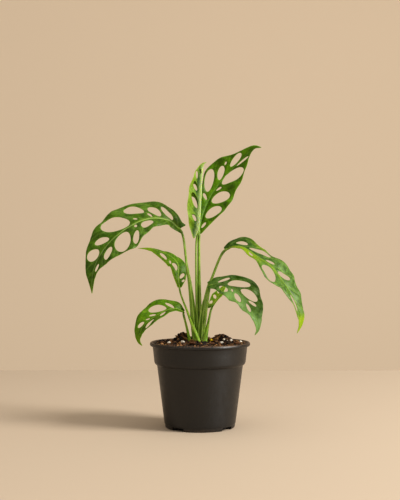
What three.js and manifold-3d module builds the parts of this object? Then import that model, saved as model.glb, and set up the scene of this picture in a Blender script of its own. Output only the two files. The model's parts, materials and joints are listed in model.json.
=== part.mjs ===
// A young potted monstera with holed leaves, in a black round nursery pot of 12 cm.
// Millimetres, +Z up. The origin is the centre of the pot's underside, and -Y is the front.
import * as THREE from "three";
import Module from "manifold-3d";
import { mergeVertices } from "three/addons/utils/BufferGeometryUtils.js";

const wasm = await Module();
wasm.setup();

// Driving dimensions
const POT_HEIGHT = 101.5;
const RIM_RADIUS = 60;
const FOOT_RADIUS = 41.9;
const WALL_TOP_RADIUS = 51.3;
const WALL_TOP_Z = 73.9;
const COLLAR_LOW_RADIUS = 54.5;
const COLLAR_TOP_RADIUS = 56.6;
const COLLAR_LOW_Z = 77.6;
const LIP_LOW_Z = 97;
const WALL = 1.5;
const POT_SIDES = 40;
const NOTCH_ANGLES_DEG = [51, 141, 231, 321];
const NOTCH_WIDTH_DEG = 23;
const NOTCH_HEIGHT = 3.8;
const NOTCH_INNER_RADIUS = 33;
const GAP = 0.35;
const SOIL_EDGE_Z = 98.3;
const SOIL_CROWN = 3;
const BLADE_THICKNESS = 0.8;
const BLADE_ROW = 10;
const RIB_HALF_WIDTH = 1.1;
const CURL_REFERENCE = 25;
const HOLE_SIDES = 12;
const SMALLEST_CUT_HOLE = 7;
const PETIOLE_SIDES = 8;
const PETIOLE_STEPS = 13;

// One plain material for each kind of matter
const BLACK_PLASTIC = new THREE.MeshStandardMaterial({ color: 0x2b2a28, roughness: 0.55, metalness: 0 });
const POTTING_MIX = new THREE.MeshStandardMaterial({ color: 0x3a2618, roughness: 1, metalness: 0 });
const ROOT = new THREE.MeshStandardMaterial({ color: 0xcdb890, roughness: 0.9, metalness: 0 });
const STEM_GREEN = new THREE.MeshStandardMaterial({ color: 0x6f9a2c, roughness: 0.5, metalness: 0 });
const LEAF_GREEN = new THREE.MeshStandardMaterial({ color: 0x2f6a1e, roughness: 0.45, metalness: 0 });
const YOUNG_GREEN = new THREE.MeshStandardMaterial({ color: 0x7fb02c, roughness: 0.45, metalness: 0 });
const PERLITE = new THREE.MeshStandardMaterial({ color: 0xece4d4, roughness: 0.95, metalness: 0 });
const BARK = new THREE.MeshStandardMaterial({ color: 0x7a4f2e, roughness: 0.95, metalness: 0 });
const PRILL = new THREE.MeshStandardMaterial({ color: 0xd8b820, roughness: 0.4, metalness: 0 });

// Each leaf: the midrib's points from base to tip, and the way that its upper face looks there.
// left and right are half widths at every eighth of the midrib, seen from above with the tip ahead.
// fold lifts each half out of the flat, in degrees from base to tip, and curl bends it down again.
// lobe is how far the base reaches back past the stalk.
// holes are [along the midrib, across it, length, width, slant in degrees].
const LEAVES = [
  {
    name: "left_high",
    material: LEAF_GREEN,
    midrib: [[-25, 0, 237], [-38, -7, 247], [-62, -16.5, 248], [-88, -28, 235], [-110, -36, 214],
      [-123, -40.5, 188],
      [-125, -42, 161]],
    face: [[0, -0.78, 0.62], [-0.15, -0.86, 0.5], [-0.3, -0.9, 0.3], [-0.45, -0.89, 0]],
    left: [5, 9, 15, 22, 28, 22.5, 13.5, 4.5, 0.4],
    right: [11, 9.5, 20.5, 24, 25, 28, 31, 31, 30.5, 28, 25, 21, 17, 12, 7.5, 3.5, 0.4],
    fold: [[12, 12], [12, 12]],
    curl: 20,
    lobe: 8,
    holes: [[19.4, 9, 18.5, 6.5, 43], [33, 9.5, 17, 8.5, 46], [39.5, 4.8, 7, 3, 54], [53, 17, 22, 10.5, 40],
      [57, 5.5, 5, 2.3, 35], [79, 13, 33, 18.5, 32], [103, 8.5, 17, 7.5, 36], [121, 7.5, 16, 12, 20],
      [47.5, -7, 18, 9.5, -8], [62, -3.5, 4.7, 3.6, -60], [71.5, -18, 18.5, 7, -43],
      [88, -12, 29, 18.5, -30],
      [111, -8, 18, 8, -11], [133, -3.6, 10, 3.5, 5]],
  },
  {
    name: "top_right",
    material: LEAF_GREEN,
    midrib: [[-1, 0, 233], [4, 5, 254], [12.5, 10, 275], [27, 12, 296], [42, 10, 312], [57, 5, 327],
      [65, 1, 333.5],
      [73, -2, 334]],
    face: [[0, -0.97, 0.1], [-0.1, -1, 0.15], [-0.1, -1, 0.15], [-0.1, -0.95, 0.3]],
    left: [2.5, 7, 11, 16, 22.5, 21.5, 12.5, 6, 0.4],
    right: [2.5, 14, 22.5, 25.5, 23, 19.5, 12.5, 3, 0.4],
    fold: [[14, 14], [14, 14]],
    curl: 15,
    lobe: 3,
    holes: [[61, -12.3, 26.5, 10.8, -27], [43, -6, 8.6, 3.4, -56], [76, -6.8, 17, 7.4, -28],
      [88, -10.6, 4.5, 2, -18],
      [99.5, -4.8, 20.5, 6.8, -6], [9, 3.6, 8.5, 3.2, 28], [28.5, 11, 23.5, 11.5, 35],
      [51, 11.5, 25.5, 13.4, 30],
      [59.5, 3.4, 8, 2.6, 21], [83, 6.6, 33, 12.4, 12], [104.5, 2.2, 18.5, 2.6, 7]],
  },
  {
    name: "young",
    material: YOUNG_GREEN,
    midrib: [[-2, -7, 234], [0, -8, 248], [1.5, -8, 276], [3, -8, 304], [4.5, -8, 312], [8, -8, 315.5]],
    face: [[-1, -0.15, 0.1], [-1, -0.15, 0.1], [-1, -0.2, 0.1]],
    left: [4, 12.5, 15, 15.5, 15, 13.5, 11, 7, 0.4],
    right: [4, 14, 17, 18, 17.5, 16, 13, 8, 0.4],
    fold: [[76, 72], [76, 72]],
    curl: 10,
    lobe: 12,
    holes: [[66, 7.6, 9, 3, 5], [70.5, 3, 6, 2.4, 13], [36, 8.5, 20, 6.6, 24], [53, 8.5, 12, 4.4, 22],
      [15, 7.5, 11, 4.2, 33], [66.5, -6.5, 9, 3, -5], [33, -8, 16, 6, -24], [50, -8, 12, 5, -20],
      [15, -7, 9, 4, -33]],
  },
  {
    name: "right_high",
    material: LEAF_GREEN,
    midrib: [[31, -5, 212], [40, -9, 216], [52, -15, 214.5], [68, -25, 203.5], [84, -34, 192],
      [96, -41, 175], [107, -45, 158],
      [115, -47, 140], [116, -47, 127], [112, -47, 115]],
    face: [[0, -0.35, 0.93], [0.35, -0.42, 0.84], [0.7, -0.6, 0.4], [0.8, -0.6, 0]],
    left: [4, 16.5, 15, 16.5, 24, 19, 12, 6, 0.4],
    right: [3, 8, 10.5, 17, 26, 13, 9.5, 7, 0.4],
    fold: [[34, 24, 14, 8, 5], [5, 5, 8]],
    curl: 15,
    lobe: 4,
    holes: [[19, -5.4, 13, 5, -4], [43, -8, 28, 6, -20], [61.5, -3.8, 11, 3.6, -14],
      [84, -6.5, 17.5, 8, -30],
      [39, 5.5, 8, 3.6, 20], [74, 13.5, 27, 16, 14], [118, 4, 21, 5, 6]],
  },
  {
    name: "right_low",
    material: LEAF_GREEN,
    midrib: [[12.6, -9, 170], [22, -12, 171.5], [35, -18, 169], [48, -24, 161], [59, -30, 147],
      [66, -34, 131], [67, -35, 119],
      [64, -35, 112]],
    face: [[0.1, -0.7, 0.7], [0.35, -0.8, 0.5], [0.55, -0.8, 0.15], [0.5, -0.85, -0.1]],
    left: [4, 12, 18, 25, 22.5, 17, 10, 4, 0.4],
    right: [4, 11, 17, 18.5, 16.5, 13.5, 8, 3.5, 0.4],
    fold: [[10, 10], [5, 5]],
    curl: 15,
    lobe: 6,
    holes: [[14.5, -6, 14, 3.6, -35], [31, -9, 25, 10, -38], [48.5, -7, 22, 11, -22],
      [59, -3.4, 11, 3.7, -26],
      [20, 7.4, 15.5, 7.6, 22], [31, 4.6, 5.2, 2.2, 43], [44, 8.5, 15.5, 6.4, 18],
      [62, 4.6, 11.5, 4.4, 4]],
  },
  {
    name: "left_mid",
    material: YOUNG_GREEN,
    midrib: [[-25, 8, 168], [-26, 12, 180], [-26, 17.5, 192.5], [-33.5, 22, 202.5], [-47, 28, 209],
      [-62, 35, 213.5], [-77, 40, 214]],
    face: [[0.3, -0.95, 0.1], [0.35, -0.85, 0.4], [0.2, -0.8, 0.6], [0, -0.75, 0.65]],
    left: [2, 6, 12, 14, 13, 9, 5.5, 3, 0.4],
    right: [2, 10, 11, 9.5, 7, 5.5, 4, 2.5, 0.4],
    fold: [[8, 8], [8, -20, -40]],
    curl: 15,
    lobe: 3,
    holes: [[25.5, -4.6, 14, 5.6, -10], [35.5, -7.6, 6, 2.6, 20], [49.5, -5.6, 15.5, 4.2, 25],
      [13.5, 4.8, 10, 4.6, 35], [6.5, 5.6, 4.5, 2.4, 45]],
  },
  {
    name: "left_low",
    material: LEAF_GREEN,
    midrib: [[-20, 0, 138], [-29, -4.5, 141.5], [-42, -10.5, 139], [-55, -16.5, 131.5],
      [-66, -21.5, 122.5], [-71.5, -24, 111],
      [-71.5, -25, 104], [-68, -26, 99]],
    face: [[-0.1, -0.75, 0.65], [-0.3, -0.8, 0.5], [-0.5, -0.8, 0.3], [-0.6, -0.8, 0]],
    left: [2, 6, 8.5, 11, 12, 11, 8, 3.5, 0.4],
    right: [2, 11, 17.5, 19, 18.5, 15, 10.5, 4, 0.4],
    fold: [[30, 30, 15], [10, 10]],
    curl: 15,
    lobe: 3,
    holes: [[16, 5.5, 12, 3.8, 52], [30.5, 7.5, 20.5, 9.6, 28], [40, 3.4, 8, 2.4, 28],
      [47.5, 2.8, 5, 1.8, 21],
      [57.5, 4, 9, 4.4, 14], [30, -4, 10, 5, -21], [51, -5.4, 16, 4.8, -11]],
  },
  {
    name: "right_back",
    material: YOUNG_GREEN,
    midrib: [[15, 8, 144], [21, 15, 153], [27, 21, 163], [34, 29, 172]],
    face: [[-0.75, -0.62, 0.1], [-0.75, -0.62, 0.2], [-0.6, -0.7, 0.3]],
    left: [5, 12, 13, 13, 10.5, 7.5, 5, 2.5, 0.4],
    right: [2, 4, 5.5, 6.5, 7, 5.5, 3.5, 2, 0.4],
    fold: [[10, 10], [10, 10]],
    curl: 15,
    lobe: 5,
    holes: [[7.5, -8, 8, 4.6, -60], [15, -5.6, 8, 3.6, -50], [23, -4.5, 7, 3, -35]],
  },
];

// Each stalk: its path from the soil to the leaf, and its radius at even steps along it.
// The lower part is wider because it carries the sheath.
const PETIOLES = [
  {
    name: "left_high",
    path: [[-5.5, -1, 90], [-6.2, -2, 104], [-7.8, -2.5, 121], [-9.2, -2.5, 139], [-11, -2.5, 157],
      [-13.2, -2, 175],
      [-15.5, -2, 189.5], [-17.2, -1, 205], [-18.5, -1, 217], [-20, 0, 226.5], [-22.2, 0, 233],
      [-24.9, 0, 236.7]],
    radius: [3, 3.6, 3.6, 3.2, 2.4, 1.6, 1.45, 1.4, 1.4],
  },
  {
    name: "top_right",
    path: [[0, 1.5, 124], [-0.8, 1.5, 150], [-1.2, 1.5, 180], [-1.4, 1, 205], [-1.4, 0.4, 222],
      [-1.2, 0, 232.4]],
    radius: [2.8, 2.5, 2, 1.7, 1.5],
  },
  {
    name: "young",
    path: [[-3.2, -1.5, 122], [-4, -2.4, 150], [-4.5, -3.4, 180], [-4.7, -4.6, 205], [-4.2, -6, 222],
      [-2.6, -7, 233.4]],
    radius: [1.8, 1.6, 1.4, 1.2, 1.2],
  },
  {
    name: "right_high",
    path: [[1.8, -5, 90], [2.2, -5, 108], [3, -5, 124], [4.4, -4.6, 140], [6.2, -4.8, 153],
      [8.4, -5, 163], [10.4, -5, 170],
      [13.4, -5, 176], [17.6, -5, 186.8], [22.6, -5, 199.6], [26.8, -5, 207.5], [30.6, -5, 211.7]],
    radius: [2.8, 3.4, 3.6, 2.6, 1.6, 1.5, 1.5, 1.5],
  },
  {
    name: "right_low",
    path: [[5.6, -8.5, 118], [6.6, -9.6, 132], [8.4, -9.8, 147], [10.2, -9.6, 159], [11.3, -9.3, 165.5],
      [12.3, -9, 169.5]],
    radius: [1.7, 1.7, 1.4, 1.3, 1.2],
  },
  {
    name: "left_mid",
    path: [[0, -13, 90], [-1, -13, 100], [-3.7, -12.4, 108.5], [-7.5, -10.6, 118], [-11.3, -7.4, 127.6],
      [-16, -2.5, 140.2],
      [-19.2, 1, 147.6], [-22.9, 4.5, 157.4], [-24.8, 7.2, 165], [-25, 7.9, 167.4]],
    radius: [2, 2.8, 2.5, 1.8, 1.3, 1.05, 0.95],
  },
  {
    name: "left_low",
    path: [[-11.4, -4, 90], [-12.4, -4, 101.7], [-13.6, -4, 109.4], [-15.9, -3, 119.5],
      [-18.2, -2, 128.5], [-20, -1, 135],
      [-20.2, 0, 137.4]],
    radius: [2, 1.9, 1.7, 1.4, 1.2],
  },
  {
    name: "right_back",
    path: [[6, -9, 90], [6.2, -8.6, 102], [7.6, -6, 113], [9.4, -2.4, 122], [11.4, 1.8, 132],
      [13, 5.4, 138.6],
      [14.7, 7.7, 143.4]],
    radius: [2.2, 2.8, 2.4, 1.7, 1.3, 1.1],
  },
];

// The short trunk that the stalks grow from, and the roots under it
const TRUNK = {
  path: [[0.5, 2, 88], [0.5, 2, 100], [0, 2, 112], [-0.6, 1.6, 123]],
  radius: [4.6, 5, 4.6, 3.2],
};
const ROOT_TOP_Z = 87.6;
const ROOT_LOW_Z = 14;
const ROOT_COUNT = 6;
const ROOT_REACH = 34;
const ROOT_RADIUS = 1.7;

// Mounds of crumbs on the soil: [x, y, height, spread]
const MOUNDS = [[-22, 9, 9, 10], [26, 9, 9, 11], [34, -6, 3, 9], [-38, 10, 2, 10], [-4, 16, 3, 14]];

// Loose pieces on the soil: [name, material, x, y, length, width, height, turn in degrees]
const CHIPS = [
  ["perlite_front_left", PERLITE, -37, -6, 5, 3.6, 3, 20],
  ["perlite_front_mid", PERLITE, -20.5, -8, 5.4, 3.6, 3.2, -35],
  ["perlite_right", PERLITE, 37, -6, 4, 3.4, 3.2, 60],
  ["perlite_front_right", PERLITE, 25.5, -14, 5, 3.4, 2.8, 10],
  ["perlite_mound", PERLITE, 28.5, -5, 4, 3.2, 2.6, 75],
  ["perlite_edge_right", PERLITE, 49, 10, 3.6, 3, 2.4, 0],
  ["bark_left", BARK, -45, 0, 8, 4.5, 2.6, 35], ["bark_front", BARK, -9, -22, 9, 5, 3, -20],
  ["bark_front_right", BARK, 14, -20, 8, 5, 3, 40], ["bark_right", BARK, 43, -12, 9, 5.5, 3, -50],
  ["bark_back_left", BARK, -30, 30, 9, 5, 3, 15], ["bark_back_right", BARK, 22, 36, 8, 5, 3, 70],
  ["fertiliser_prill", PRILL, 13.5, -3, 3.4, 3.4, 3.2, 0],
];

// three.js geometry to a manifold solid, and back
function solidOf(geometry) {
  const bare = geometry.clone();
  bare.deleteAttribute("normal");
  bare.deleteAttribute("uv");
  const merged = mergeVertices(bare, 1e-4);
  return new wasm.Manifold(new wasm.Mesh({
    numProp: 3,
    vertProperties: merged.getAttribute("position").array,
    triVerts: new Uint32Array(merged.index.array),
  }));
}

function geometryOf(solid) {
  const mesh = solid.getMesh();
  const geometry = new THREE.BufferGeometry();
  geometry.setAttribute("position", new THREE.BufferAttribute(mesh.vertProperties, 3));
  geometry.setIndex(new THREE.BufferAttribute(mesh.triVerts, 1));
  geometry.computeVertexNormals();
  return geometry;
}

function geometryFrom(positions, triangles) {
  const geometry = new THREE.BufferGeometry();
  geometry.setAttribute("position", new THREE.BufferAttribute(new Float32Array(positions), 3));
  geometry.setIndex(triangles);
  return geometry;
}

// A cut can leave crumbs, and only the largest body is the piece
function largest(solid) {
  return solid.decompose().reduce((best, body) => (body.volume() > best.volume() ? body : best));
}

function vectorsOf(points) {
  return points.map(([x, y, z]) => new THREE.Vector3(x, y, z));
}

function curveOf(points) {
  return new THREE.CatmullRomCurve3(vectorsOf(points), false, "catmullrom", 0.5);
}

// A smooth value at share u of an evenly spaced list
function along(list, u) {
  if (list.length === 2) return THREE.MathUtils.lerp(list[0], list[1], u);
  const at = THREE.MathUtils.clamp(u, 0, 1) * (list.length - 1);
  const i = Math.min(Math.floor(at), list.length - 2);
  const w = at - i;
  const a = list[i];
  const b = list[i + 1];
  const slopeA = (b - (list[i - 1] ?? 2 * a - b)) / 2;
  const slopeB = ((list[i + 2] ?? 2 * b - a) - a) / 2;
  const cubic = 2 * a - 2 * b + slopeA + slopeB;
  const square = -3 * a + 3 * b - 2 * slopeA - slopeB;
  return cubic * w ** 3 + square * w ** 2 + slopeA * w + a;
}

// A closed tube of round sections along a path, with the radius grown by extra
function stalkGeometry(path, radius, sides, steps, extra = 0) {
  const curve = curveOf(path);
  const frames = curve.computeFrenetFrames(steps, false);
  const positions = [];
  const triangles = [];
  for (let i = 0; i <= steps; i += 1) {
    const u = i / steps;
    const centre = curve.getPointAt(u);
    const r = along(radius, u) + extra;
    const end = (i === 0 ? -extra : 0) + (i === steps ? extra : 0);
    centre.addScaledVector(frames.tangents[i], end);
    for (let k = 0; k < sides; k += 1) {
      const angle = (2 * Math.PI * k) / sides;
      const p = centre.clone()
        .addScaledVector(frames.normals[i], r * Math.cos(angle))
        .addScaledVector(frames.binormals[i], r * Math.sin(angle));
      positions.push(p.x, p.y, p.z);
    }
  }
  for (let i = 0; i < steps; i += 1) {
    for (let k = 0; k < sides; k += 1) {
      const a = i * sides + k;
      const b = i * sides + ((k + 1) % sides);
      triangles.push(a, b, a + sides, b, b + sides, a + sides);
    }
  }
  const last = steps * sides;
  for (let k = 1; k < sides - 1; k += 1) {
    triangles.push(0, k + 1, k, last, last + k, last + k + 1);
  }
  return geometryFrom(positions, triangles);
}

// The flat blade as a plate, x along the midrib and y across it, thicker underneath at the midrib
function flatBlade(leaf, length) {
  const rows = Math.round(length / BLADE_ROW) + 2;
  const columns = [-1, -0.5, -RIB_HALF_WIDTH, 0, RIB_HALF_WIDTH, 0.5, 1];
  const positions = [];
  const triangles = [];
  for (const face of [1, -1]) {
    for (let i = 0; i <= rows; i += 1) {
      const u = i / rows;
      const ribDepth = face < 0 ? 1.1 * (1 - u) : 0;
      columns.forEach((column, j) => {
        const width = Math.max(along(column < 0 ? leaf.left : leaf.right, u), 0.4);
        const isRib = j > 1 && j < 5;
        const ribSide = Math.min(RIB_HALF_WIDTH, width * 0.4) * Math.sign(column);
        const t = isRib ? ribSide : column * width;
        const back = leaf.lobe * (t / width) ** 2 * Math.max(0, 1 - u / 0.25) ** 2;
        const under = isRib && column === 0 ? ribDepth : 0;
        positions.push(u * length - back, t, face * (BLADE_THICKNESS / 2) - under);
      });
    }
  }
  const wide = columns.length;
  const underside = (rows + 1) * wide;
  const quad = (a, b, c, d) => triangles.push(a, b, c, a, c, d);
  for (let i = 0; i < rows; i += 1) {
    for (let j = 0; j < wide - 1; j += 1) {
      const a = i * wide + j;
      quad(a, a + wide, a + wide + 1, a + 1);
      quad(underside + a, underside + a + 1, underside + a + wide + 1, underside + a + wide);
    }
    const l = i * wide;
    const r = l + wide - 1;
    quad(l, underside + l, underside + l + wide, l + wide);
    quad(r, r + wide, underside + r + wide, underside + r);
  }
  for (let j = 0; j < wide - 1; j += 1) {
    const end = rows * wide + j;
    quad(j, j + 1, underside + j + 1, underside + j);
    quad(end, underside + end, underside + end + 1, end + 1);
  }
  return geometryFrom(positions, triangles);
}

// An oval prism through the flat blade
function holeGeometry([s, t, length, width, slant]) {
  const oval = new THREE.EllipseCurve(0, 0, length / 2, width / 2);
  const points = oval.getPoints(HOLE_SIDES).slice(0, HOLE_SIDES);
  const geometry = new THREE.ExtrudeGeometry(new THREE.Shape(points), { depth: 8, bevelEnabled: false });
  geometry.rotateZ(THREE.MathUtils.degToRad(slant));
  geometry.translate(s, t, -4);
  return geometry;
}

// Where a point of the flat blade lies once the leaf is bent along its midrib
function bender(leaf) {
  const curve = curveOf(leaf.midrib);
  const length = curve.getLength();
  const faceX = leaf.face.map((f) => f[0]);
  const faceY = leaf.face.map((f) => f[1]);
  const faceZ = leaf.face.map((f) => f[2]);
  const bend = (s, t, h) => {
    const u = THREE.MathUtils.clamp(s / length, 0, 1);
    const tangent = curve.getTangentAt(u);
    const point = curve.getPointAt(u).addScaledVector(tangent, s - u * length);
    const normal = new THREE.Vector3(along(faceX, u), along(faceY, u), along(faceZ, u));
    normal.addScaledVector(tangent, -normal.dot(tangent)).normalize();
    const side = tangent.clone().cross(normal);
    const sign = t < 0 ? -1 : 1;
    const fold = THREE.MathUtils.degToRad(along(leaf.fold[t < 0 ? 0 : 1], u));
    const bendRate = THREE.MathUtils.degToRad(leaf.curl) / CURL_REFERENCE;
    const across = Math.abs(t);
    const out = (Math.sin(fold) - Math.sin(fold - bendRate * across)) / bendRate;
    const up = (Math.cos(fold - bendRate * across) - Math.cos(fold)) / bendRate;
    const lean = fold - bendRate * across;
    return point
      .addScaledVector(side, sign * (out - h * Math.sin(lean)))
      .addScaledVector(normal, up + h * Math.cos(lean));
  };
  return { length, bend };
}

function bladeSolid(leaf) {
  const { length, bend } = bender(leaf);
  let flat = solidOf(flatBlade(leaf, length));
  for (const hole of leaf.holes.filter((h) => h[2] >= SMALLEST_CUT_HOLE)) {
    flat = flat.subtract(solidOf(holeGeometry(hole)));
  }
  const mesh = largest(flat).getMesh();
  const positions = [];
  for (let i = 0; i < mesh.numVert; i += 1) {
    const [s, t, h] = mesh.vertProperties.slice(3 * i, 3 * i + 3);
    positions.push(...bend(s, t, h).toArray());
  }
  const triangles = [];
  for (let i = 0; i < mesh.triVerts.length; i += 3) {
    triangles.push(mesh.triVerts[i], mesh.triVerts[i + 2], mesh.triVerts[i + 1]);
  }
  return solidOf(geometryFrom(positions, triangles));
}

// The pot: a turned shell with four drain notches cut through its bottom corner
function potSolid() {
  const profile = [
    [0, 0], [FOOT_RADIUS - 1.4, 0], [FOOT_RADIUS - 0.4, 1], [FOOT_RADIUS, 4.6], [FOOT_RADIUS + 0.6, 5.2],
    [WALL_TOP_RADIUS, WALL_TOP_Z], [COLLAR_LOW_RADIUS - 1, WALL_TOP_Z + 1.7],
    [COLLAR_LOW_RADIUS, COLLAR_LOW_Z],
    [COLLAR_TOP_RADIUS, LIP_LOW_Z - 0.4], [RIM_RADIUS - 0.9, LIP_LOW_Z], [RIM_RADIUS, LIP_LOW_Z + 1.4],
    [RIM_RADIUS - 0.3, POT_HEIGHT - 1], [RIM_RADIUS - 1.4, POT_HEIGHT],
    [RIM_RADIUS - 3, POT_HEIGHT - 0.4],
    [COLLAR_TOP_RADIUS - WALL, LIP_LOW_Z - 1], [COLLAR_LOW_RADIUS - WALL, COLLAR_LOW_Z + 0.6],
    [WALL_TOP_RADIUS - WALL, WALL_TOP_Z + 0.6], [FOOT_RADIUS - WALL + 0.3, 5], [FOOT_RADIUS - 3, WALL],
    [0, WALL],
  ];
  const shell = solidOf(new THREE.LatheGeometry(profile.map(([r, z]) => new THREE.Vector2(r, z)), POT_SIDES)
    .rotateX(Math.PI / 2));
  return NOTCH_ANGLES_DEG.reduce((pot, angle) => pot.subtract(notchSolid(angle)), shell);
}

function notchSolid(angleDeg) {
  const half = NOTCH_WIDTH_DEG / 2;
  const corner = (radius, offset) => {
    const angle = THREE.MathUtils.degToRad(angleDeg + offset);
    return new THREE.Vector2(radius * Math.sin(angle), -radius * Math.cos(angle));
  };
  const outer = FOOT_RADIUS + 6;
  const outline = [
    corner(NOTCH_INNER_RADIUS, -half),
    corner(outer, -half),
    corner(outer, half),
    corner(NOTCH_INNER_RADIUS, half),
  ];
  const depth = NOTCH_HEIGHT + 2;
  const prism = new THREE.ExtrudeGeometry(new THREE.Shape(outline), { depth, bevelEnabled: false });
  return solidOf(prism.translate(0, 0, -2));
}

// The height of the soil's bumpy surface
function soilHeight(x, y) {
  const crown = SOIL_CROWN * Math.exp(-(x * x + y * y) / 30 ** 2);
  const ripple = 0.5 * Math.sin(x * 0.31 + 1) * Math.cos(y * 0.37) + 0.3 * Math.sin(x * 0.7 + y * 0.55);
  let mounds = 0;
  for (const [moundX, moundY, height, spread] of MOUNDS) {
    mounds += height * Math.exp(-((x - moundX) ** 2 + (y - moundY) ** 2) / spread ** 2);
  }
  return SOIL_EDGE_Z + crown + ripple + mounds;
}

// The soil fills the pot, a gap away from its wall, up to the bumpy surface
function soilSolid() {
  const sides = 30;
  const inset = WALL + GAP + 0.3;
  const { mapLinear } = THREE.MathUtils;
  const bodyRadius = (z) => mapLinear(z, 5, WALL_TOP_Z, FOOT_RADIUS + 0.3, WALL_TOP_RADIUS) - inset;
  const collarTaper = (COLLAR_TOP_RADIUS - COLLAR_LOW_RADIUS) / (LIP_LOW_Z - COLLAR_LOW_Z);
  const collarRadius = (z) => COLLAR_LOW_RADIUS + (z - COLLAR_LOW_Z) * collarTaper - inset;
  const low = WALL + GAP;
  const outside = [
    [FOOT_RADIUS - 4, low],
    [bodyRadius(6) - 0.2, 6],
    [bodyRadius(WALL_TOP_Z - 1), WALL_TOP_Z + 1],
    [collarRadius(COLLAR_LOW_Z + 2), COLLAR_LOW_Z + 2],
  ];
  const rings = [0.97, 0.8, 0.62, 0.44, 0.24];
  const edge = collarRadius(SOIL_EDGE_Z - 1) - 0.4;
  const positions = [0, 0, low];
  const triangles = [];
  const pushRing = (radius, height) => {
    for (let k = 0; k < sides; k += 1) {
      const angle = (2 * Math.PI * k) / sides;
      const x = radius * Math.cos(angle);
      const y = radius * Math.sin(angle);
      positions.push(x, y, height ?? soilHeight(x, y));
    }
  };
  outside.forEach(([radius, z]) => pushRing(radius, z));
  pushRing(edge, SOIL_EDGE_Z - 1);
  rings.forEach((share) => pushRing(share * edge));
  positions.push(0, 0, soilHeight(0, 0));
  const ringCount = outside.length + 1 + rings.length;
  const top = 1 + ringCount * sides;
  for (let k = 0; k < sides; k += 1) {
    const next = (k + 1) % sides;
    triangles.push(0, 1 + next, 1 + k);
    for (let ring = 0; ring < ringCount - 1; ring += 1) {
      const a = 1 + ring * sides + k;
      const b = 1 + ring * sides + next;
      triangles.push(a, b, b + sides, a, b + sides, a + sides);
    }
    const inner = 1 + (ringCount - 1) * sides;
    triangles.push(inner + k, inner + next, top);
  }
  return solidOf(geometryFrom(positions, triangles));
}

// Roots that spread down and out from the crown under the trunk, grown by extra
function rootsSolid(extra) {
  const crown = [[0.5, 2, ROOT_TOP_Z - 16], [0.5, 2, ROOT_TOP_Z - 8], [0.5, 2, ROOT_TOP_Z]];
  let roots = solidOf(stalkGeometry(crown, [2.5, 5.4, 4.2], PETIOLE_SIDES, 4, extra));
  for (let k = 0; k < ROOT_COUNT; k += 1) {
    const angle = (2 * Math.PI * k) / ROOT_COUNT + 0.3;
    const reach = ROOT_REACH * (0.75 + 0.25 * Math.sin(3 * k + 1));
    const drop = (ROOT_TOP_Z - ROOT_LOW_Z) * (0.72 + 0.28 * Math.cos(2 * k));
    const at = (share, depth) => [
      0.5 + reach * share * Math.cos(angle + 0.5 * depth), 2 + reach * share * Math.sin(angle + 0.5 * depth),
      ROOT_TOP_Z - 8 - depth * (drop - 8)];
    const path = [at(0.03, 0), at(0.4, 0.16), at(0.8, 0.48), at(1, 1)];
    roots = roots.add(solidOf(stalkGeometry(path, [ROOT_RADIUS, 1.2, 0.6], 5, 6, extra)));
  }
  return roots;
}

// An uneven lump, laid on the soil and hollowed by it
function chipSolid([, , x, y, length, width, height, turn], soil) {
  const lump = new THREE.IcosahedronGeometry(0.5, 0);
  lump.scale(length, width, height);
  lump.rotateZ(THREE.MathUtils.degToRad(turn));
  lump.translate(x, y, soilHeight(x, y) + height * 0.22);
  return largest(solidOf(lump).subtract(soil.translate([0, 0, GAP])));
}

const plant = new THREE.Group();
const medium = new THREE.Group();
const potted = new THREE.Group();
potted.add(medium, plant);

function add(group, name, solid, material) {
  const mesh = new THREE.Mesh(geometryOf(solid), material.clone());
  mesh.name = name;
  group.add(mesh);
}

// Stems are cut in this order, so that each lies a gap away from those before it
const trunk = solidOf(stalkGeometry(TRUNK.path, TRUNK.radius, 12, 6));
const takenBy = [solidOf(stalkGeometry(TRUNK.path, TRUNK.radius, 12, 6, GAP))];
add(plant, "trunk", trunk, STEM_GREEN);
for (const { name, path, radius } of PETIOLES) {
  const full = solidOf(stalkGeometry(path, radius, PETIOLE_SIDES, PETIOLE_STEPS));
  const cut = largest(takenBy.reduce((left, taken) => left.subtract(taken), full));
  takenBy.push(solidOf(stalkGeometry(path, radius, PETIOLE_SIDES, PETIOLE_STEPS, GAP)));
  add(plant, "petiole_" + name, cut, STEM_GREEN);
}
for (const leaf of LEAVES) {
  const cut = largest(takenBy.reduce((left, taken) => left.subtract(taken), bladeSolid(leaf)));
  add(plant, "leaf_" + leaf.name, cut, leaf.material);
}
add(plant, "roots", rootsSolid(0), ROOT);

const soil = [...takenBy, rootsSolid(GAP)].reduce((left, taken) => left.subtract(taken), soilSolid());
add(medium, "soil", largest(soil), POTTING_MIX);
for (const chip of CHIPS) {
  const cut = takenBy.reduce((left, taken) => left.subtract(taken), chipSolid(chip, soilSolid()));
  add(medium, chip[0], largest(cut), chip[1]);
}
add(potted, "pot", potSolid(), BLACK_PLASTIC);

export default potted;
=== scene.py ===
# %% [markdown]
# # A potted monstera with holed leaves
#
# This lesson builds the looks of a young climbing plant in its nursery pot. The frame
# that it loads holds plain solids for the pot, the potting mix, the stalks and the leaves,
# at their real size. Each of them is replaced here by a finer piece in the same place.
# Lengths are in millimetres until a mesh is made, and then they are metres.

# %% Load the frame and the tools
import json
import math
import random
from itertools import combinations

import bpy
import numpy as np
from mathutils import Matrix, noise, Vector
from mathutils.geometry import delaunay_2d_cdt

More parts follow.
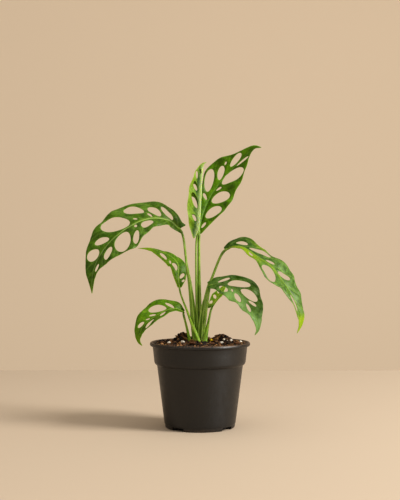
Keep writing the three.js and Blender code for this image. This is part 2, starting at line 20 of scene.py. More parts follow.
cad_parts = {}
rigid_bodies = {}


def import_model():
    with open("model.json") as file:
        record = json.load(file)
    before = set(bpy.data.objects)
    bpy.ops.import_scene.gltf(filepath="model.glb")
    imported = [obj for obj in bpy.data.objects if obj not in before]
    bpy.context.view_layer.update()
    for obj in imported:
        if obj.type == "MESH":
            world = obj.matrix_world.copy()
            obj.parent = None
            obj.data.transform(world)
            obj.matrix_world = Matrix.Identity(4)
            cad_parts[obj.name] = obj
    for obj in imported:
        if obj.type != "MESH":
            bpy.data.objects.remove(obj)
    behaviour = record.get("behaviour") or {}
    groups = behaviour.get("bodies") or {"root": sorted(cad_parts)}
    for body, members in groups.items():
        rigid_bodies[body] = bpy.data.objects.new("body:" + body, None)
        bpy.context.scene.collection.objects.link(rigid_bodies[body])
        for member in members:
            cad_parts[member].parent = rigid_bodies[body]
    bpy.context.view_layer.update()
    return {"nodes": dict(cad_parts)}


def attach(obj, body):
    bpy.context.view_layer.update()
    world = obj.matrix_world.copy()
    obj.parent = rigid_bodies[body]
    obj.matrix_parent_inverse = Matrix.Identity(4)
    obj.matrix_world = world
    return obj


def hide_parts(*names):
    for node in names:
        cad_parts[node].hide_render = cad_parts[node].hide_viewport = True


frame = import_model()
MM = 0.001
chance = random.Random(7)
print("nodes in the frame:", len(frame["nodes"]))

# %% [markdown]
# ## The camera
#
# The plant is seen level, from a little over a metre away, with a long lens. The horizon
# is halfway up the picture, so the camera isn't tilted, and the pot's rim shows a thin
# ellipse. A 72 mm lens on a 36 mm film gives 1000 pixels of focal length in a frame that
# is 500 pixels high.

# %% Camera
CAMERA_AWAY = 1196
CAMERA_HEIGHT = 211.2

camera_data = bpy.data.cameras.new("camera")
camera_data.lens = 72
camera_data.sensor_width = 36
camera = bpy.data.objects.new("camera", camera_data)
bpy.context.collection.objects.link(camera)
camera.location = (0, -CAMERA_AWAY * MM, CAMERA_HEIGHT * MM)
camera.rotation_euler = (math.radians(90), 0, 0)
bpy.context.scene.camera = camera
print("camera at", tuple(round(c, 3) for c in camera.location))

# %% [markdown]
# ## Helpers for meshes
#
# Every piece is made the same way: vertices in millimetres, faces, a material, and the
# names of the CAD nodes that it stands for. A number kept on each vertex, such as how near
# it is to a vein, is an attribute, which the material reads to place its colours exactly
# where the shape has that feature.

# %% Make a piece and paint numbers on it
def new_piece(name, verts, faces, material, slot, nodes=(), smooth=True):
    """A mesh object in the plant's own place, which rides on its one body."""
    mesh = bpy.data.meshes.new(name)
    mesh.from_pydata((np.asarray(verts) * MM).tolist(), [], faces)
    mesh.polygons.foreach_set("use_smooth", [smooth] * len(mesh.polygons))
    mesh.materials.append(material)
    mesh.update()
    piece = bpy.data.objects.new(name, mesh)
    bpy.context.collection.objects.link(piece)
    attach(piece, "root")
    if nodes:
        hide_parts(*nodes)
    return piece


def paint(piece, **numbers):
    """Keeps numbers on each vertex, each under its own name."""
    for name, values in numbers.items():
        layer = piece.data.attributes.new(name, "FLOAT", "POINT")
        layer.data.foreach_set("value", np.asarray(values, dtype=np.float32))


def smooth_samples(points, shares):
    """Catmull-Rom values of an evenly spaced list at shares from 0 to 1."""
    p = np.asarray(points, float)
    p = np.concatenate([[2 * p[0] - p[1]], p, [2 * p[-1] - p[-2]]])
    at = np.clip(shares, 0, 1) * (len(points) - 1)
    i = np.minimum(at.astype(int), len(points) - 2)
    w = at - i
    if p.ndim > 1:
        w = w[:, None]
    a, b, c, d = p[i], p[i + 1], p[i + 2], p[i + 3]
    cubic = 3 * b - 3 * c + d - a
    return 0.5 * (2 * b + (c - a) * w + (2 * a - 5 * b + 4 * c - d) * w**2 + cubic * w**3)


def unit(vectors):
    return vectors / np.linalg.norm(vectors, axis=-1, keepdims=True)


def make_route(points, steps=400):
    """A smooth line as (places, lengths so far, directions)."""
    places = smooth_samples(points, np.linspace(0, 1, steps + 1))
    lengths = np.concatenate([[0], np.cumsum(np.linalg.norm(np.diff(places, axis=0), axis=1))])
    return places, lengths, unit(np.gradient(places, lengths, axis=0))


def on_route(route, lengths):
    """Places and directions at the given lengths along a route."""
    places, gone, ways = route
    at = np.stack([np.interp(lengths, gone, places[:, k]) for k in range(3)], 1)
    way = np.stack([np.interp(lengths, gone, ways[:, k]) for k in range(3)], 1)
    return at, unit(way)


def ease(low, high, value):
    """0 below low, 1 above high, and smooth between."""
    x = np.clip((value - low) / (high - low), 0, 1)
    return x * x * (3 - 2 * x)


def hump(value, middle, width):
    """A soft bump of height 1."""
    return np.exp(-((value - middle) / width) ** 2)


def ring_solid(rings, around):
    """The faces of a solid whose vertices lie in rings, one after the other."""
    ways = [(k, (k + 1) % around) for k in range(around)]
    starts = [i * around for i in range(rings - 1)]
    faces = [(i + a, i + b, i + b + around, i + a + around) for i in starts for a, b in ways]
    last = (rings - 1) * around
    return faces + [tuple(range(around))[::-1], tuple(range(last, last + around))]


# %% [markdown]
# ## Helpers for materials
#
# A material is a small tree of nodes. These helpers add a node and join it in one line.
# Colours are given as the sRGB hex codes that a colour picker shows, and turned into the
# linear values that the shader works with.

# %% Colours and nodes
def linear(code):
    """A linear colour from an sRGB hex code."""
    parts = [int(code[k:k + 2], 16) / 255 for k in (1, 3, 5)]
    return (*[c / 12.92 if c <= 0.04045 else ((c + 0.055) / 1.055) ** 2.4 for c in parts], 1.0)


def fill_in(tree, node, inputs):
    """Sets a node's inputs; each is a value or another node's socket."""
    for key, value in dict(inputs).items():
        if isinstance(value, bpy.types.NodeSocket):
            tree.links.new(value, node.inputs[key])
        else:
            node.inputs[key].default_value = value


def add_node(tree, kind, inputs=(), **settings):
    node = tree.nodes.new("ShaderNode" + kind)
    for key, value in settings.items():
        setattr(node, key, value)
    fill_in(tree, node, inputs)
    return node


def use_group(tree, group, inputs):
    return add_node(tree, "Group", inputs, node_tree=group).outputs


def calc(tree, operation, a, b=0.0, clamp=False):
    return add_node(tree, "Math", {0: a, 1: b}, operation=operation, use_clamp=clamp).outputs[0]


def times(tree, a, b):
    return calc(tree, "MULTIPLY", a, b)


def number(tree, name, share=1.0):
    """The number painted on the vertices under this name, or a share of it."""
    value = add_node(tree, "Attribute", attribute_name=name).outputs["Fac"]
    return value if share == 1 else times(tree, value, share)


def blend(tree, share, a, b):
    """Mixes two colours; the share is a number or a mask."""
    return add_node(tree, "Mix", {0: share, 6: a, 7: b}, data_type="RGBA").outputs[2]


def spread(tree, value, low, high, to_low=0.0, to_high=1.0):
    """Stretches a range of values to another."""
    inputs = {"Value": value, "From Min": low, "From Max": high,
              "To Min": to_low, "To Max": to_high}
    return add_node(tree, "MapRange", inputs, clamp=True).outputs[0]


def bump(tree, height, strength, distance):
    """The normals of a surface with a fine relief."""
    values = {"Height": height, "Strength": strength, "Distance": distance}
    return add_node(tree, "Bump", values).outputs[0]


def object_place(tree):
    return add_node(tree, "TexCoord").outputs["Object"]


def new_material(name):
    """An empty material, its tree and its shader."""
    material = bpy.data.materials.new(name)
    material.use_nodes = True
    return material, material.node_tree, material.node_tree.nodes["Principled BSDF"]


def new_group(name, inputs, outputs):
    """A node group with named number inputs and outputs."""
    group = bpy.data.node_groups.new(name, "ShaderNodeTree")
    for label, kind, value in inputs:
        socket = group.interface.new_socket(label, in_out="INPUT", socket_type="NodeSocket" + kind)
        if value is not None:
            socket.default_value = value
    for label in outputs:
        group.interface.new_socket(label, in_out="OUTPUT", socket_type="NodeSocketFloat")
    ends = group.nodes.new("NodeGroupInput"), group.nodes.new("NodeGroupOutput")
    return group, ends[0].outputs, ends[1].inputs


# %% [markdown]
# ## Shared surface effects
#
# Two effects come back in many materials, so each is a node group. "Mottle" gives a soft
# cloudy mask at any scale, for the uneven green of a leaf or the dust on a pot. "Net of
# veins" draws the finest veins, which join in small cells between the side veins. It works
# in the leaf's own coordinates, along and across the midrib, so that the net bends with
# the leaf.

# %% Node group: mottle
mottle, mottle_in, mottle_out = new_group(
    "mottle", [("Place", "Vector", None), ("Scale", "Float", 50.0), ("Contrast", "Float", 0.5)],
    ["Mask", "Fine"])
cloudy = add_node(mottle, "TexNoise", {
    "Vector": mottle_in["Place"], "Scale": mottle_in["Scale"], "Detail": 4.0, "Roughness": 0.6})
centred = calc(mottle, "SUBTRACT", cloudy.outputs["Fac"], 0.5)
lifted = times(mottle, centred, times(mottle, mottle_in["Contrast"], 8.0))
mottle.links.new(calc(mottle, "ADD", lifted, 0.5, clamp=True), mottle_out["Mask"])
finer = add_node(mottle, "TexNoise", {
    "Vector": mottle_in["Place"], "Scale": times(mottle, mottle_in["Scale"], 9.0), "Detail": 3.0})
mottle.links.new(finer.outputs["Fac"], mottle_out["Fine"])
print("group:", mottle.name)

# %% Node group: net of veins
vein_net, net_in, net_out = new_group(
    "net of veins",
    [("Along", "Float", 0.0), ("Across", "Float", 0.0), ("Cells per cm", "Float", 4.0)],
    ["Lines", "Cushions"])
place = add_node(vein_net, "CombineXYZ", {"X": net_in["Along"], "Y": net_in["Across"]}).outputs[0]
wobble = add_node(vein_net, "TexNoise", {"Vector": place, "Scale": 6.0, "Detail": 2.0})
bent = add_node(vein_net, "VectorMath", {0: wobble.outputs["Color"], 1: (0.08, 0.08, 0.0)},
                operation="MULTIPLY")
moved = add_node(vein_net, "VectorMath", {0: place, 1: bent.outputs[0]}, operation="ADD")
cells = add_node(
    vein_net, "TexVoronoi", {"Vector": moved.outputs[0], "Scale": net_in["Cells per cm"]},
    feature="DISTANCE_TO_EDGE", voronoi_dimensions="2D")
edge_far = cells.outputs["Distance"]
vein_net.links.new(spread(vein_net, edge_far, 0.0, 0.1, 1.0, 0.0), net_out["Lines"])
vein_net.links.new(spread(vein_net, edge_far, 0.0, 0.45), net_out["Cushions"])
print("group:", vein_net.name)

# %% [markdown]
# ## The leaf's finish
#
# A leaf of this kind is leathery and satin: a dark green upper face with paler, sunken
# veins, and a lighter, duller underside. Light passes through it and comes out yellow-green,
# which subsurface scattering gives. Young blades have less of the dark green and more
# yellow. Each blade gets its own material from one function, because the photograph shows
# a different age, and so a different green, on each.

# %% Leaf material
def leaf_material(name, greens, gloss, glow):
    """Satin leaf: dark blade, light patches, painted sheen and shade, veins, fresh parts, dull
    underside.
    """
    dark, light, vein, fresh, under, rib = [linear(code) for code in greens]
    material, tree, shader = new_material(name)
    along, across = number(tree, "along"), number(tree, "across")
    place = add_node(tree, "CombineXYZ", {"X": along, "Y": across}).outputs[0]
    cloud = use_group(tree, mottle, {"Place": place, "Scale": 1.6, "Contrast": 0.5})
    net = use_group(tree, vein_net, {"Along": along, "Across": across, "Cells per cm": 6.0})
    # The 'light' number is painted sheen, added to the mottle to move the blade towards the light
    # green.
    mottle_and_painted_sheen = calc(tree, "ADD", times(tree, cloud["Mask"], 0.75), number(tree, "light"), clamp=True)
    blade = blend(tree, mottle_and_painted_sheen, dark, light)
    for mask, colour in ((number(tree, "fresh"), fresh), (times(tree, net["Lines"], 0.07), vein),
                         (number(tree, "vein", 0.4), vein), (number(tree, "rim", 0.3), vein),
                         (number(tree, "under", 0.55), under),
                         # The 'deep' number and this dark green are painted shade.
                         (number(tree, "deep"), linear("#1c4400")), (number(tree, "rib"), rib)):
        blade = blend(tree, mask, blade, colour)
    rough = calc(tree, "ADD", times(tree, cloud["Fine"], 0.2), gloss - 0.1)
    height = calc(tree, "ADD", net["Cushions"], times(tree, cloud["Fine"], 0.5))
    fill_in(tree, shader, {
        "Base Color": blade, "Roughness": calc(tree, "ADD", rough, number(tree, "under", 0.12)),
        "Normal": bump(tree, height, 0.2, 0.0002), "Specular IOR Level": 0.2,
        "Subsurface Weight": glow, "Subsurface Radius": (0.7, 1.0, 0.08),
        "Subsurface Scale": 0.002})
    return material


# %% [markdown]
# ## The blades
#
# A blade is an oval sheet with a row of oval holes on each side of its midrib. Bending a
# flat sheet is the simplest true way to make it, because a real leaf also grows flat in
# the bud. First the edge and the holes are drawn in the flat, in millimetres along and
# across the midrib. A constrained Delaunay triangulation fills the space between them with
# fine triangles that follow every edge and vein. Then the whole sheet is laid along a
# midrib that curves through space, folded up at the midrib and curled down again at its
# margins. The half widths, holes and curves below are the blade's driving sizes.

# %% The eight blades in numbers
# midrib: places from base to tip. face: the way that the upper side looks, from base to tip.
# left and right: half widths at even steps. fold: degrees that each half rises, base to tip.
# holes: along, across, length, width, slant in degrees.
# greens: dark, light (for mottle and painted sheen), vein, fresh, under, rib. rib and rib_tone:
# how wide and how clear the pale line on the midrib is. glow: how much light passes through.
BLADES = {
    "left_high": dict(
        midrib=[[-25, 0, 237], [-38, -7, 247], [-62, -16.5, 248], [-88, -28, 235],
                [-110, -36, 214], [-123, -40.5, 188], [-125, -42, 161]],
        face=[[0, -0.78, 0.62], [-0.15, -0.86, 0.5], [-0.3, -0.9, 0.3], [-0.45, -0.89, 0]],
        left=[5, 9, 15, 22, 28, 22.5, 13.5, 4.5, 0.3],
        right=[11, 9.5, 20.5, 24, 25, 28, 31, 31, 30.5, 28, 25, 21, 17, 12, 7.5, 3.5, 0.3],
        fold=[[12, 12], [12, 12]], curl=20, lobe=8,
        holes=[[19.4, 9, 18.5, 6.5, 43], [33, 9.5, 17, 8.5, 46], [39.5, 4.8, 7, 3, 54],
               [53, 17, 22, 10.5, 40], [57, 5.5, 5, 2.3, 35], [79, 13, 33, 18.5, 32],
               [103, 8.5, 17, 7.5, 36], [121, 7.5, 16, 12, 20], [47.5, -7, 18, 9.5, -8],
               [62, -3.5, 4.7, 3.6, -60], [71.5, -18, 18.5, 7, -43], [88, -12, 29, 18.5, -30],
               [111, -8, 18, 8, -11], [133, -3.6, 10, 3.5, 5]],
        greens=["#314d00", "#517214", "#7fa048", "#6f8a00", "#5c8430", "#9db86c"], gloss=0.38),
    "top_right": dict(
        midrib=[[-1, 0, 233], [4, 5, 254], [12.5, 10, 275], [27, 12, 296], [42, 10, 312],
                [57, 5, 327], [65, 1, 333.5], [73, -2, 334]],
        face=[[0, -0.97, 0.1], [-0.1, -1, 0.15], [-0.1, -1, 0.15], [-0.1, -0.95, 0.3]],
        left=[2.5, 7, 11, 16, 22.5, 21.5, 12.5, 6, 0.3],
        right=[2.5, 14, 22.5, 25.5, 23, 19.5, 12.5, 3, 0.3],
        fold=[[14, 14], [14, 14]], curl=15, lobe=3,
        holes=[[61, -12.3, 26.5, 10.8, -27], [43, -6, 8.6, 3.4, -56], [76, -6.8, 17, 7.4, -28],
               [88, -10.6, 4.5, 2, -18], [99.5, -4.8, 20.5, 6.8, -6], [9, 3.6, 8.5, 3.2, 28],
               [28.5, 11, 23.5, 11.5, 35], [51, 11.5, 25.5, 13.4, 30], [59.5, 3.4, 8, 2.6, 21],
               [83, 6.6, 33, 12.4, 12], [104.5, 2.2, 18.5, 2.6, 7]],
        greens=["#3a5600", "#568000", "#6f9c20", "#648a00", "#5c8424", "#6f9c3c"], gloss=0.4),
    "young": dict(
        midrib=[[-2, -7, 234], [0, -8, 248], [1.5, -8, 276], [3, -8, 304], [4.5, -8, 312],
                [8, -8, 315.5]],
        face=[[-1, -0.15, 0.1], [-1, -0.15, 0.1], [-1, -0.2, 0.1]],
        left=[4, 12.5, 15, 15.5, 15, 13.5, 11, 7, 0.3],
        right=[4, 14, 17, 18, 17.5, 16, 13, 8, 0.3],
        fold=[[76, 72], [76, 72]], curl=10, lobe=12, rib=3.4, rib_tone=1.3, glow=0.4,
        holes=[[66, 7.6, 9, 3, 5], [70.5, 3, 6, 2.4, 13], [36, 8.5, 20, 6.6, 24],
               [53, 8.5, 12, 4.4, 22], [15, 7.5, 11, 4.2, 33], [66.5, -6.5, 9, 3, -5],
               [33, -8, 16, 6, -24], [50, -8, 12, 5, -20], [15, -7, 9, 4, -33]],
        greens=["#3c6200", "#688804", "#98b450", "#a0b44c", "#6c8c1c", "#b0c488"], gloss=0.45),
    "right_high": dict(
        midrib=[[31, -5, 212], [40, -9, 216], [52, -15, 214.5], [68, -25, 203.5], [84, -34, 192],
                [96, -41, 175], [107, -45, 158], [115, -47, 140], [116, -47, 127],
                [112, -47, 115]],
        face=[[0, -0.35, 0.93], [0.35, -0.42, 0.84], [0.7, -0.6, 0.4], [0.8, -0.6, 0]],
        left=[4, 16.5, 15, 16.5, 24, 19, 12, 6, 0.3], right=[3, 8, 10.5, 17, 26, 13, 9.5, 7, 0.3],
        fold=[[34, 24, 14, 8, 5], [5, 5, 8]], curl=15, lobe=4,
        holes=[[19, -5.4, 13, 5, -4], [43, -8, 28, 6, -20], [61.5, -3.8, 11, 3.6, -14],
               [84, -6.5, 17.5, 8, -30], [39, 5.5, 8, 3.6, 20], [74, 13.5, 27, 16, 14],
               [118, 4, 21, 5, 6]],
        greens=["#264800", "#5c7c38", "#88a450", "#7f9800", "#648838", "#8cac40"], gloss=0.4),
    "right_low": dict(
        midrib=[[12.6, -9, 170], [22, -12, 171.5], [35, -18, 169], [48, -24, 161],
                [59, -30, 147], [66, -34, 131], [67, -35, 119], [64, -35, 112]],
        face=[[0.1, -0.7, 0.7], [0.35, -0.8, 0.5], [0.55, -0.8, 0.15], [0.5, -0.85, -0.1]],
        left=[4, 12, 18, 25, 22.5, 17, 10, 4, 0.3],
        right=[4, 11, 17, 18.5, 16.5, 13.5, 8, 3.5, 0.3],
        fold=[[10, 10], [5, 5]], curl=15, lobe=6,
        holes=[[14.5, -6, 14, 3.6, -35], [31, -9, 25, 10, -38], [48.5, -7, 22, 11, -22],
               [59, -3.4, 11, 3.7, -26], [20, 7.4, 15.5, 7.6, 22], [31, 4.6, 5.2, 2.2, 43],
               [44, 8.5, 15.5, 6.4, 18], [62, 4.6, 11.5, 4.4, 4]],
        greens=["#365800", "#749854", "#7fa048", "#4c7800", "#648c34", "#7c9c48"], gloss=0.38),
    "left_mid": dict(
        midrib=[[-25, 8, 168], [-26, 12, 180], [-26, 17.5, 192.5], [-33.5, 22, 202.5],
                [-47, 28, 209], [-62, 35, 213.5], [-77, 40, 214]],
        face=[[0.3, -0.95, 0.1], [0.35, -0.85, 0.4], [0.2, -0.8, 0.6], [0, -0.75, 0.65]],
        left=[2, 6, 12, 14, 13, 9, 5.5, 3, 0.3], right=[2, 10, 11, 9.5, 7, 5.5, 4, 2.5, 0.3],
        fold=[[8, 8], [8, -20, -40]], curl=15, lobe=3, glow=0.4,
        holes=[[25.5, -4.6, 14, 5.6, -10], [35.5, -7.6, 6, 2.6, 20], [49.5, -5.6, 15.5, 4.2, 25],
               [13.5, 4.8, 10, 4.6, 35], [6.5, 5.6, 4.5, 2.4, 45]],
        greens=["#446c00", "#6c9400", "#90b028", "#84a400", "#7a9a20", "#98b848"], gloss=0.42),
    "left_low": dict(
        midrib=[[-20, 0, 138], [-29, -4.5, 141.5], [-42, -10.5, 139], [-55, -16.5, 131.5],
                [-66, -21.5, 122.5], [-71.5, -24, 111], [-71.5, -25, 104], [-68, -26, 99]],
        face=[[-0.1, -0.75, 0.65], [-0.3, -0.8, 0.5], [-0.5, -0.8, 0.3], [-0.6, -0.8, 0]],
        left=[2, 6, 8.5, 11, 12, 11, 8, 3.5, 0.3], right=[2, 11, 17.5, 19, 18.5, 15, 10.5, 4, 0.3],
        fold=[[30, 30, 15], [10, 10]], curl=15, lobe=3,
        holes=[[16, 5.5, 12, 3.8, 52], [30.5, 7.5, 20.5, 9.6, 28], [40, 3.4, 8, 2.4, 28],
               [47.5, 2.8, 5, 1.8, 21], [57.5, 4, 9, 4.4, 14], [30, -4, 10, 5, -21],
               [51, -5.4, 16, 4.8, -11]],
        greens=["#385800", "#588000", "#80a024", "#709400", "#5c8420", "#8cb040"], gloss=0.4),
    "right_back": dict(
        midrib=[[15, 8, 144], [21, 15, 153], [27, 21, 163], [34, 29, 172]],
        face=[[-0.75, -0.62, 0.1], [-0.75, -0.62, 0.2], [-0.6, -0.7, 0.3]],
        left=[5, 12, 13, 13, 10.5, 7.5, 5, 2.5, 0.3], right=[2, 4, 5.5, 6.5, 7, 5.5, 3.5, 2, 0.3],
        fold=[[10, 10], [10, 10]], curl=15, lobe=5, glow=0.5,
        holes=[[7.5, -8, 8, 4.6, -60], [15, -5.6, 8, 3.6, -50], [23, -4.5, 7, 3, -35]],
        greens=["#609000", "#98bc0c", "#bcd050", "#b4c410", "#a8c034", "#ccdc74"], gloss=0.42),
}
CURL_REFERENCE = 25
print("blades:", ", ".join(BLADES))

# %% [markdown]
# ### The flat pattern
#
# The edge comes from the half widths, with a slight wave, as no leaf margin is ruled. At
# the base each half reaches back past the stalk as a lobe. A hole is an oval that is a
# little blunter at its outer end. Corner cutting rounds the lobes, as a real blade has no
# sharp corner but its tip.

# %% Edges and holes in the flat
def round_loop(loop, rounds=2):
    """Cuts the corners of a closed loop."""
    for _ in range(rounds):
        after = np.roll(loop, -1, axis=0)
        loop = np.stack([0.75 * loop + 0.25 * after, 0.25 * loop + 0.75 * after], 1).reshape(-1, 2)
    return loop


def edge_loop(blade, length):
    """The blade's edge, as places along and across the midrib."""
    shares = np.linspace(0, 1, int(length / 4.5) + 2)
    sides = []
    for key, sign in (("right", 1), ("left", -1)):
        width = np.maximum(smooth_samples(blade[key], shares), 0.25)
        width *= 1 + 0.025 * np.sin(shares * 31 + sign) * ease(0.05, 0.2, shares)
        back = blade["lobe"] * np.maximum(0, 1 - shares / 0.25) ** 2
        sides.append(np.stack([shares * length - back, sign * width], 1))
    sinus = [[0.0, 0.0]]
    return round_loop(np.concatenate([sides[0], sides[1][::-1], sinus]))


def hole_loop(hole):
    """One oval hole, blunter at its outer end."""
    along, across, long, wide, slant = hole
    turn = math.radians(slant)
    count = max(14, int(long * 1.6))
    a = np.linspace(0, 2 * math.pi, count, endpoint=False)
    x = long / 2 * np.cos(a)
    y = wide / 2 * np.sin(a) * (1 + 0.14 * np.cos(a))
    return np.stack([along + x * math.cos(turn) - y * math.sin(turn),
                     across + x * math.sin(turn) + y * math.cos(turn)], 1)


def far_from_loop(points, loop):
    """Each point's distance to a closed loop."""
    step = np.roll(loop, -1, axis=0) - loop
    out = points[:, None] - loop[None]
    share = np.clip((out * step).sum(-1) / np.maximum((step * step).sum(-1), 1e-9), 0, 1)
    return np.linalg.norm(out - share[..., None] * step, axis=-1).min(1)


def in_loop(points, loop):
    """Whether each point is inside a closed loop."""
    a, b = loop, np.roll(loop, -1, axis=0)
    x, y = points[:, :1], points[:, 1:]
    level = (a[:, 1] > y) != (b[:, 1] > y)
    rise = np.where(b[:, 1] == a[:, 1], 1e-9, b[:, 1] - a[:, 1])
    return (level & (x < (b[:, 0] - a[:, 0]) * (y - a[:, 1]) / rise + a[:, 0])).sum(1) % 2 == 1


# %% [markdown]
# ### The veins
#
# Side veins leave the midrib at a wide angle near the base and a narrow one near the tip,
# and each hole lies between two of them. So the veins are placed from the holes: each
# hole's line is followed back to the midrib, and a vein starts halfway between each two.

# %% Side veins, placed between the holes
VEIN_CURVE = 0.012
LEAN_AT_BASE = 0.75
LEAN_GAINED = 1.1
# Where two veins would be further apart than this share of the blade, one more is added.
WIDE_GAP = 0.16


def vein_lean(share):
    """How far a side vein runs forward for each millimetre outward."""
    return LEAN_AT_BASE + LEAN_GAINED * share


def side_veins(blade, length):
    """The side veins as (half, place on the midrib, lean)."""
    veins = []
    for sign in (1, -1):
        starts = [-0.04 * length, 1.02 * length]
        for along, across, long, _, _ in blade["holes"]:
            if across * sign > 0 and long > 6:
                out = abs(across)
                starts.append(along - out * vein_lean(along / length) - VEIN_CURVE * out**2)
        pairs = list(zip(sorted(starts), sorted(starts)[1:]))
        roots = [0.5 * (a + b) for a, b in pairs]
        roots += [(3 * a + b) / 4 for a, b in pairs if b - a > WIDE_GAP * length]
        veins += [(sign, root, vein_lean(root / length)) for root in sorted(roots)]
    return veins


def far_from_veins(blade, length, points):
    """Each point's distance to the nearest side vein of its half."""
    along, across = points.T
    out = np.abs(across)
    far = np.full(len(points), 99.0)
    for sign, root, lean in side_veins(blade, length):
        gap = np.abs(along - root - lean * out - VEIN_CURVE * out**2)
        gap = gap / np.sqrt(1 + (lean + 2 * VEIN_CURVE * out) ** 2)
        far = np.where(across * sign >= 0, np.minimum(far, gap), far)
    return far


# %% [markdown]
# ### The mesh in the flat
#
# Points are laid in an order of importance: the edge and the hole rims, two rings along each
# of them, the midrib and the side veins, and last an even field of points. A point too near
# one that is already there is left out, which keeps the triangles well shaped.

# %% Points and triangles of the flat blade
FIELD_STEP = 1.5
# No blade is wider than this on either side of its midrib.
FIELD_REACH = 36
# Nearer than this to an edge no point is laid.
NEAR = 0.42
# Points are looked up in square cells of this size.
CELL = 1.6
RING_STEPS = (0.5, 1.2)
RIB_LINES = (0, 0.55, -0.55, 1.15, -1.15, 1.9, -1.9)
VEIN_LINES = (0, 0.45, -0.45)


def keep_apart(wanted):
    """The wanted points, in order, without those too near an earlier one."""
    cells, kept = {}, []
    for points, gap in wanted:
        for x, y in points:
            cx, cy = int(x // CELL), int(y // CELL)
            around = ((cx + i, cy + j) for i in (-1, 0, 1) for j in (-1, 0, 1))
            near = (q for cell in around for q in cells.get(cell, ()))
            if all((x - q[0]) ** 2 + (y - q[1]) ** 2 > gap * gap for q in near):
                cells.setdefault((cx, cy), []).append((x, y))
                kept.append((x, y))
    return kept


def grow_loop(loop, step):
    """A loop moved outward, or inward when step is below 0."""
    way = unit(np.roll(loop, -1, axis=0) - np.roll(loop, 1, axis=0))
    out = np.stack([way[:, 1], -way[:, 0]], 1)
    area = (loop[:, 0] * np.roll(loop[:, 1], -1) - np.roll(loop[:, 0], -1) * loop[:, 1]).sum()
    return loop + out * step * np.sign(area)


def flat_blade(blade, length):
    """The flat blade's points, triangles and rims."""
    edge = edge_loop(blade, length)
    holes = [hole_loop(h) for h in blade["holes"]]
    wanted = [(grow_loop(edge, -step), 0.4) for step in RING_STEPS]
    wanted += [(grow_loop(hole, step), 0.4) for hole in holes for step in RING_STEPS]
    ribs = np.arange(0.6, length - 1, 1.3)
    for across in RIB_LINES:
        wanted.append((np.stack([ribs, np.full(len(ribs), across)], 1), 0.45))
    out = np.arange(1.9, FIELD_REACH - 2, 1.2)
    for sign, root, lean in side_veins(blade, length):
        for aside in VEIN_LINES:
            line = root + lean * out + VEIN_CURVE * out**2 + aside * math.sqrt(1 + lean * lean)
            wanted.append((np.stack([line, sign * out], 1), 0.4))
    x, y = np.meshgrid(np.arange(-12, length + 2, FIELD_STEP),
                       np.arange(-FIELD_REACH, FIELD_REACH, FIELD_STEP * 0.87))
    x = x + FIELD_STEP / 2 * (np.arange(len(y)) % 2)[:, None]
    wanted.append((np.stack([x.ravel(), y.ravel()], 1), 0.85))
    inside = [(np.concatenate([edge] + holes), 0.0)]
    for points, gap in wanted:
        points = points[in_loop(points, edge) & (far_from_loop(points, edge) > NEAR)]
        for hole in holes:
            points = points[~in_loop(points, hole) & (far_from_loop(points, hole) > NEAR)]
        inside.append((points, gap))
    borders, first = [], 0
    for loop in [edge] + holes:
        borders += [(first + k, first + (k + 1) % len(loop)) for k in range(len(loop))]
        first += len(loop)
    made = delaunay_2d_cdt([Vector(p) for p in keep_apart(inside)], borders, [], 0, 1e-5)
    flat = np.array([tuple(v) for v in made[0]])
    triangles = np.array([f for f in made[2] if len(f) == 3])
    middle = flat[triangles].mean(1)
    keep = in_loop(middle, edge)
    for hole in holes:
        keep &= ~in_loop(middle, hole)
    return flat, triangles[keep], edge, holes


# %% [markdown]
# ### The blade in space
#
# The relief is what makes a leaf read as a leaf at arm's length. The upper side sinks at the
# midrib and the side veins and puffs up between them. The lower side has the midrib as a
# strong ridge, and the side veins as fine ones. The rims of the holes and the outer margin
# are thin and turn down a little, and the outer margin waves.

# %% Bend a flat blade along its midrib
def bend(blade, route, along, across, height):
    """Where points of the flat blade lie once it is bent, folded and curled."""
    length = route[1][-1]
    inside = np.clip(along, 0, length)
    place, way = on_route(route, inside)
    place = place + way * (along - inside)[:, None]
    face = smooth_samples(blade["face"], inside / length)
    face = unit(face - way * (face * way).sum(1)[:, None])
    side = np.cross(way, face)
    folds = [smooth_samples(f, inside / length) for f in blade["fold"]]
    fold = np.radians(np.where(across < 0, folds[0], folds[1]))
    rate = math.radians(blade["curl"]) / CURL_REFERENCE
    out = np.abs(across)
    lean = fold - rate * out
    over = (np.sin(fold) - np.sin(lean)) / rate - height * np.sin(lean)
    up = (np.cos(lean) - np.cos(fold)) / rate + height * np.cos(lean)
    return place + side * (np.sign(across) * over)[:, None] + face * up[:, None]


SHEET = 0.42
THIN_EDGE = 0.16
RIB_RIDGE = 1.15
RIB_GROOVE = 0.4


def relief(blade, length, flat, edge, holes):
    """Heights of the upper and lower side, and the masks that the material reads."""
    along, across = flat.T
    out = np.abs(across)
    share = np.clip(along / length, 0, 1)
    margin = far_from_loop(flat, edge)
    rim = np.min([margin] + [far_from_loop(flat, hole) for hole in holes], axis=0)
    vein_far = far_from_veins(blade, length, flat)
    vein = hump(vein_far, 0, 0.42) * ease(0.2, 2.0, rim)
    rib = hump(out, 0, 0.95 - 0.45 * share)
    puff = 0.55 * (1 - hump(vein_far, 0, 2.2)) * (1 - hump(out, 0, 3.0)) - 0.2
    wave = ease(2, 14, out) * np.sin(along * 0.27 + np.where(across > 0, 0.5, 2.4))
    base = puff + wave - 0.45 * np.exp(-rim / 0.9)
    half = 0.5 * (THIN_EDGE + (SHEET - THIN_EDGE) * ease(0.0, 1.4, rim))
    upper = base + half - RIB_GROOVE * (1 - 0.8 * share) * rib * ease(0, 1, rim)
    ridge = RIB_RIDGE * (1 - 0.85 * share) * rib + 0.22 * vein
    lower = base - half - ridge * ease(0, 0.8, rim)
    rib_tone = np.minimum(1, blade.get("rib_tone", 0.85) - 0.5 * share)
    rib_tone = rib_tone * hump(out, 0, blade.get("rib", 0.75) * (1 - 0.45 * share))
    return upper, lower, margin, dict(vein=vein, rib=rib_tone, rim=hump(rim, 0, 0.5))


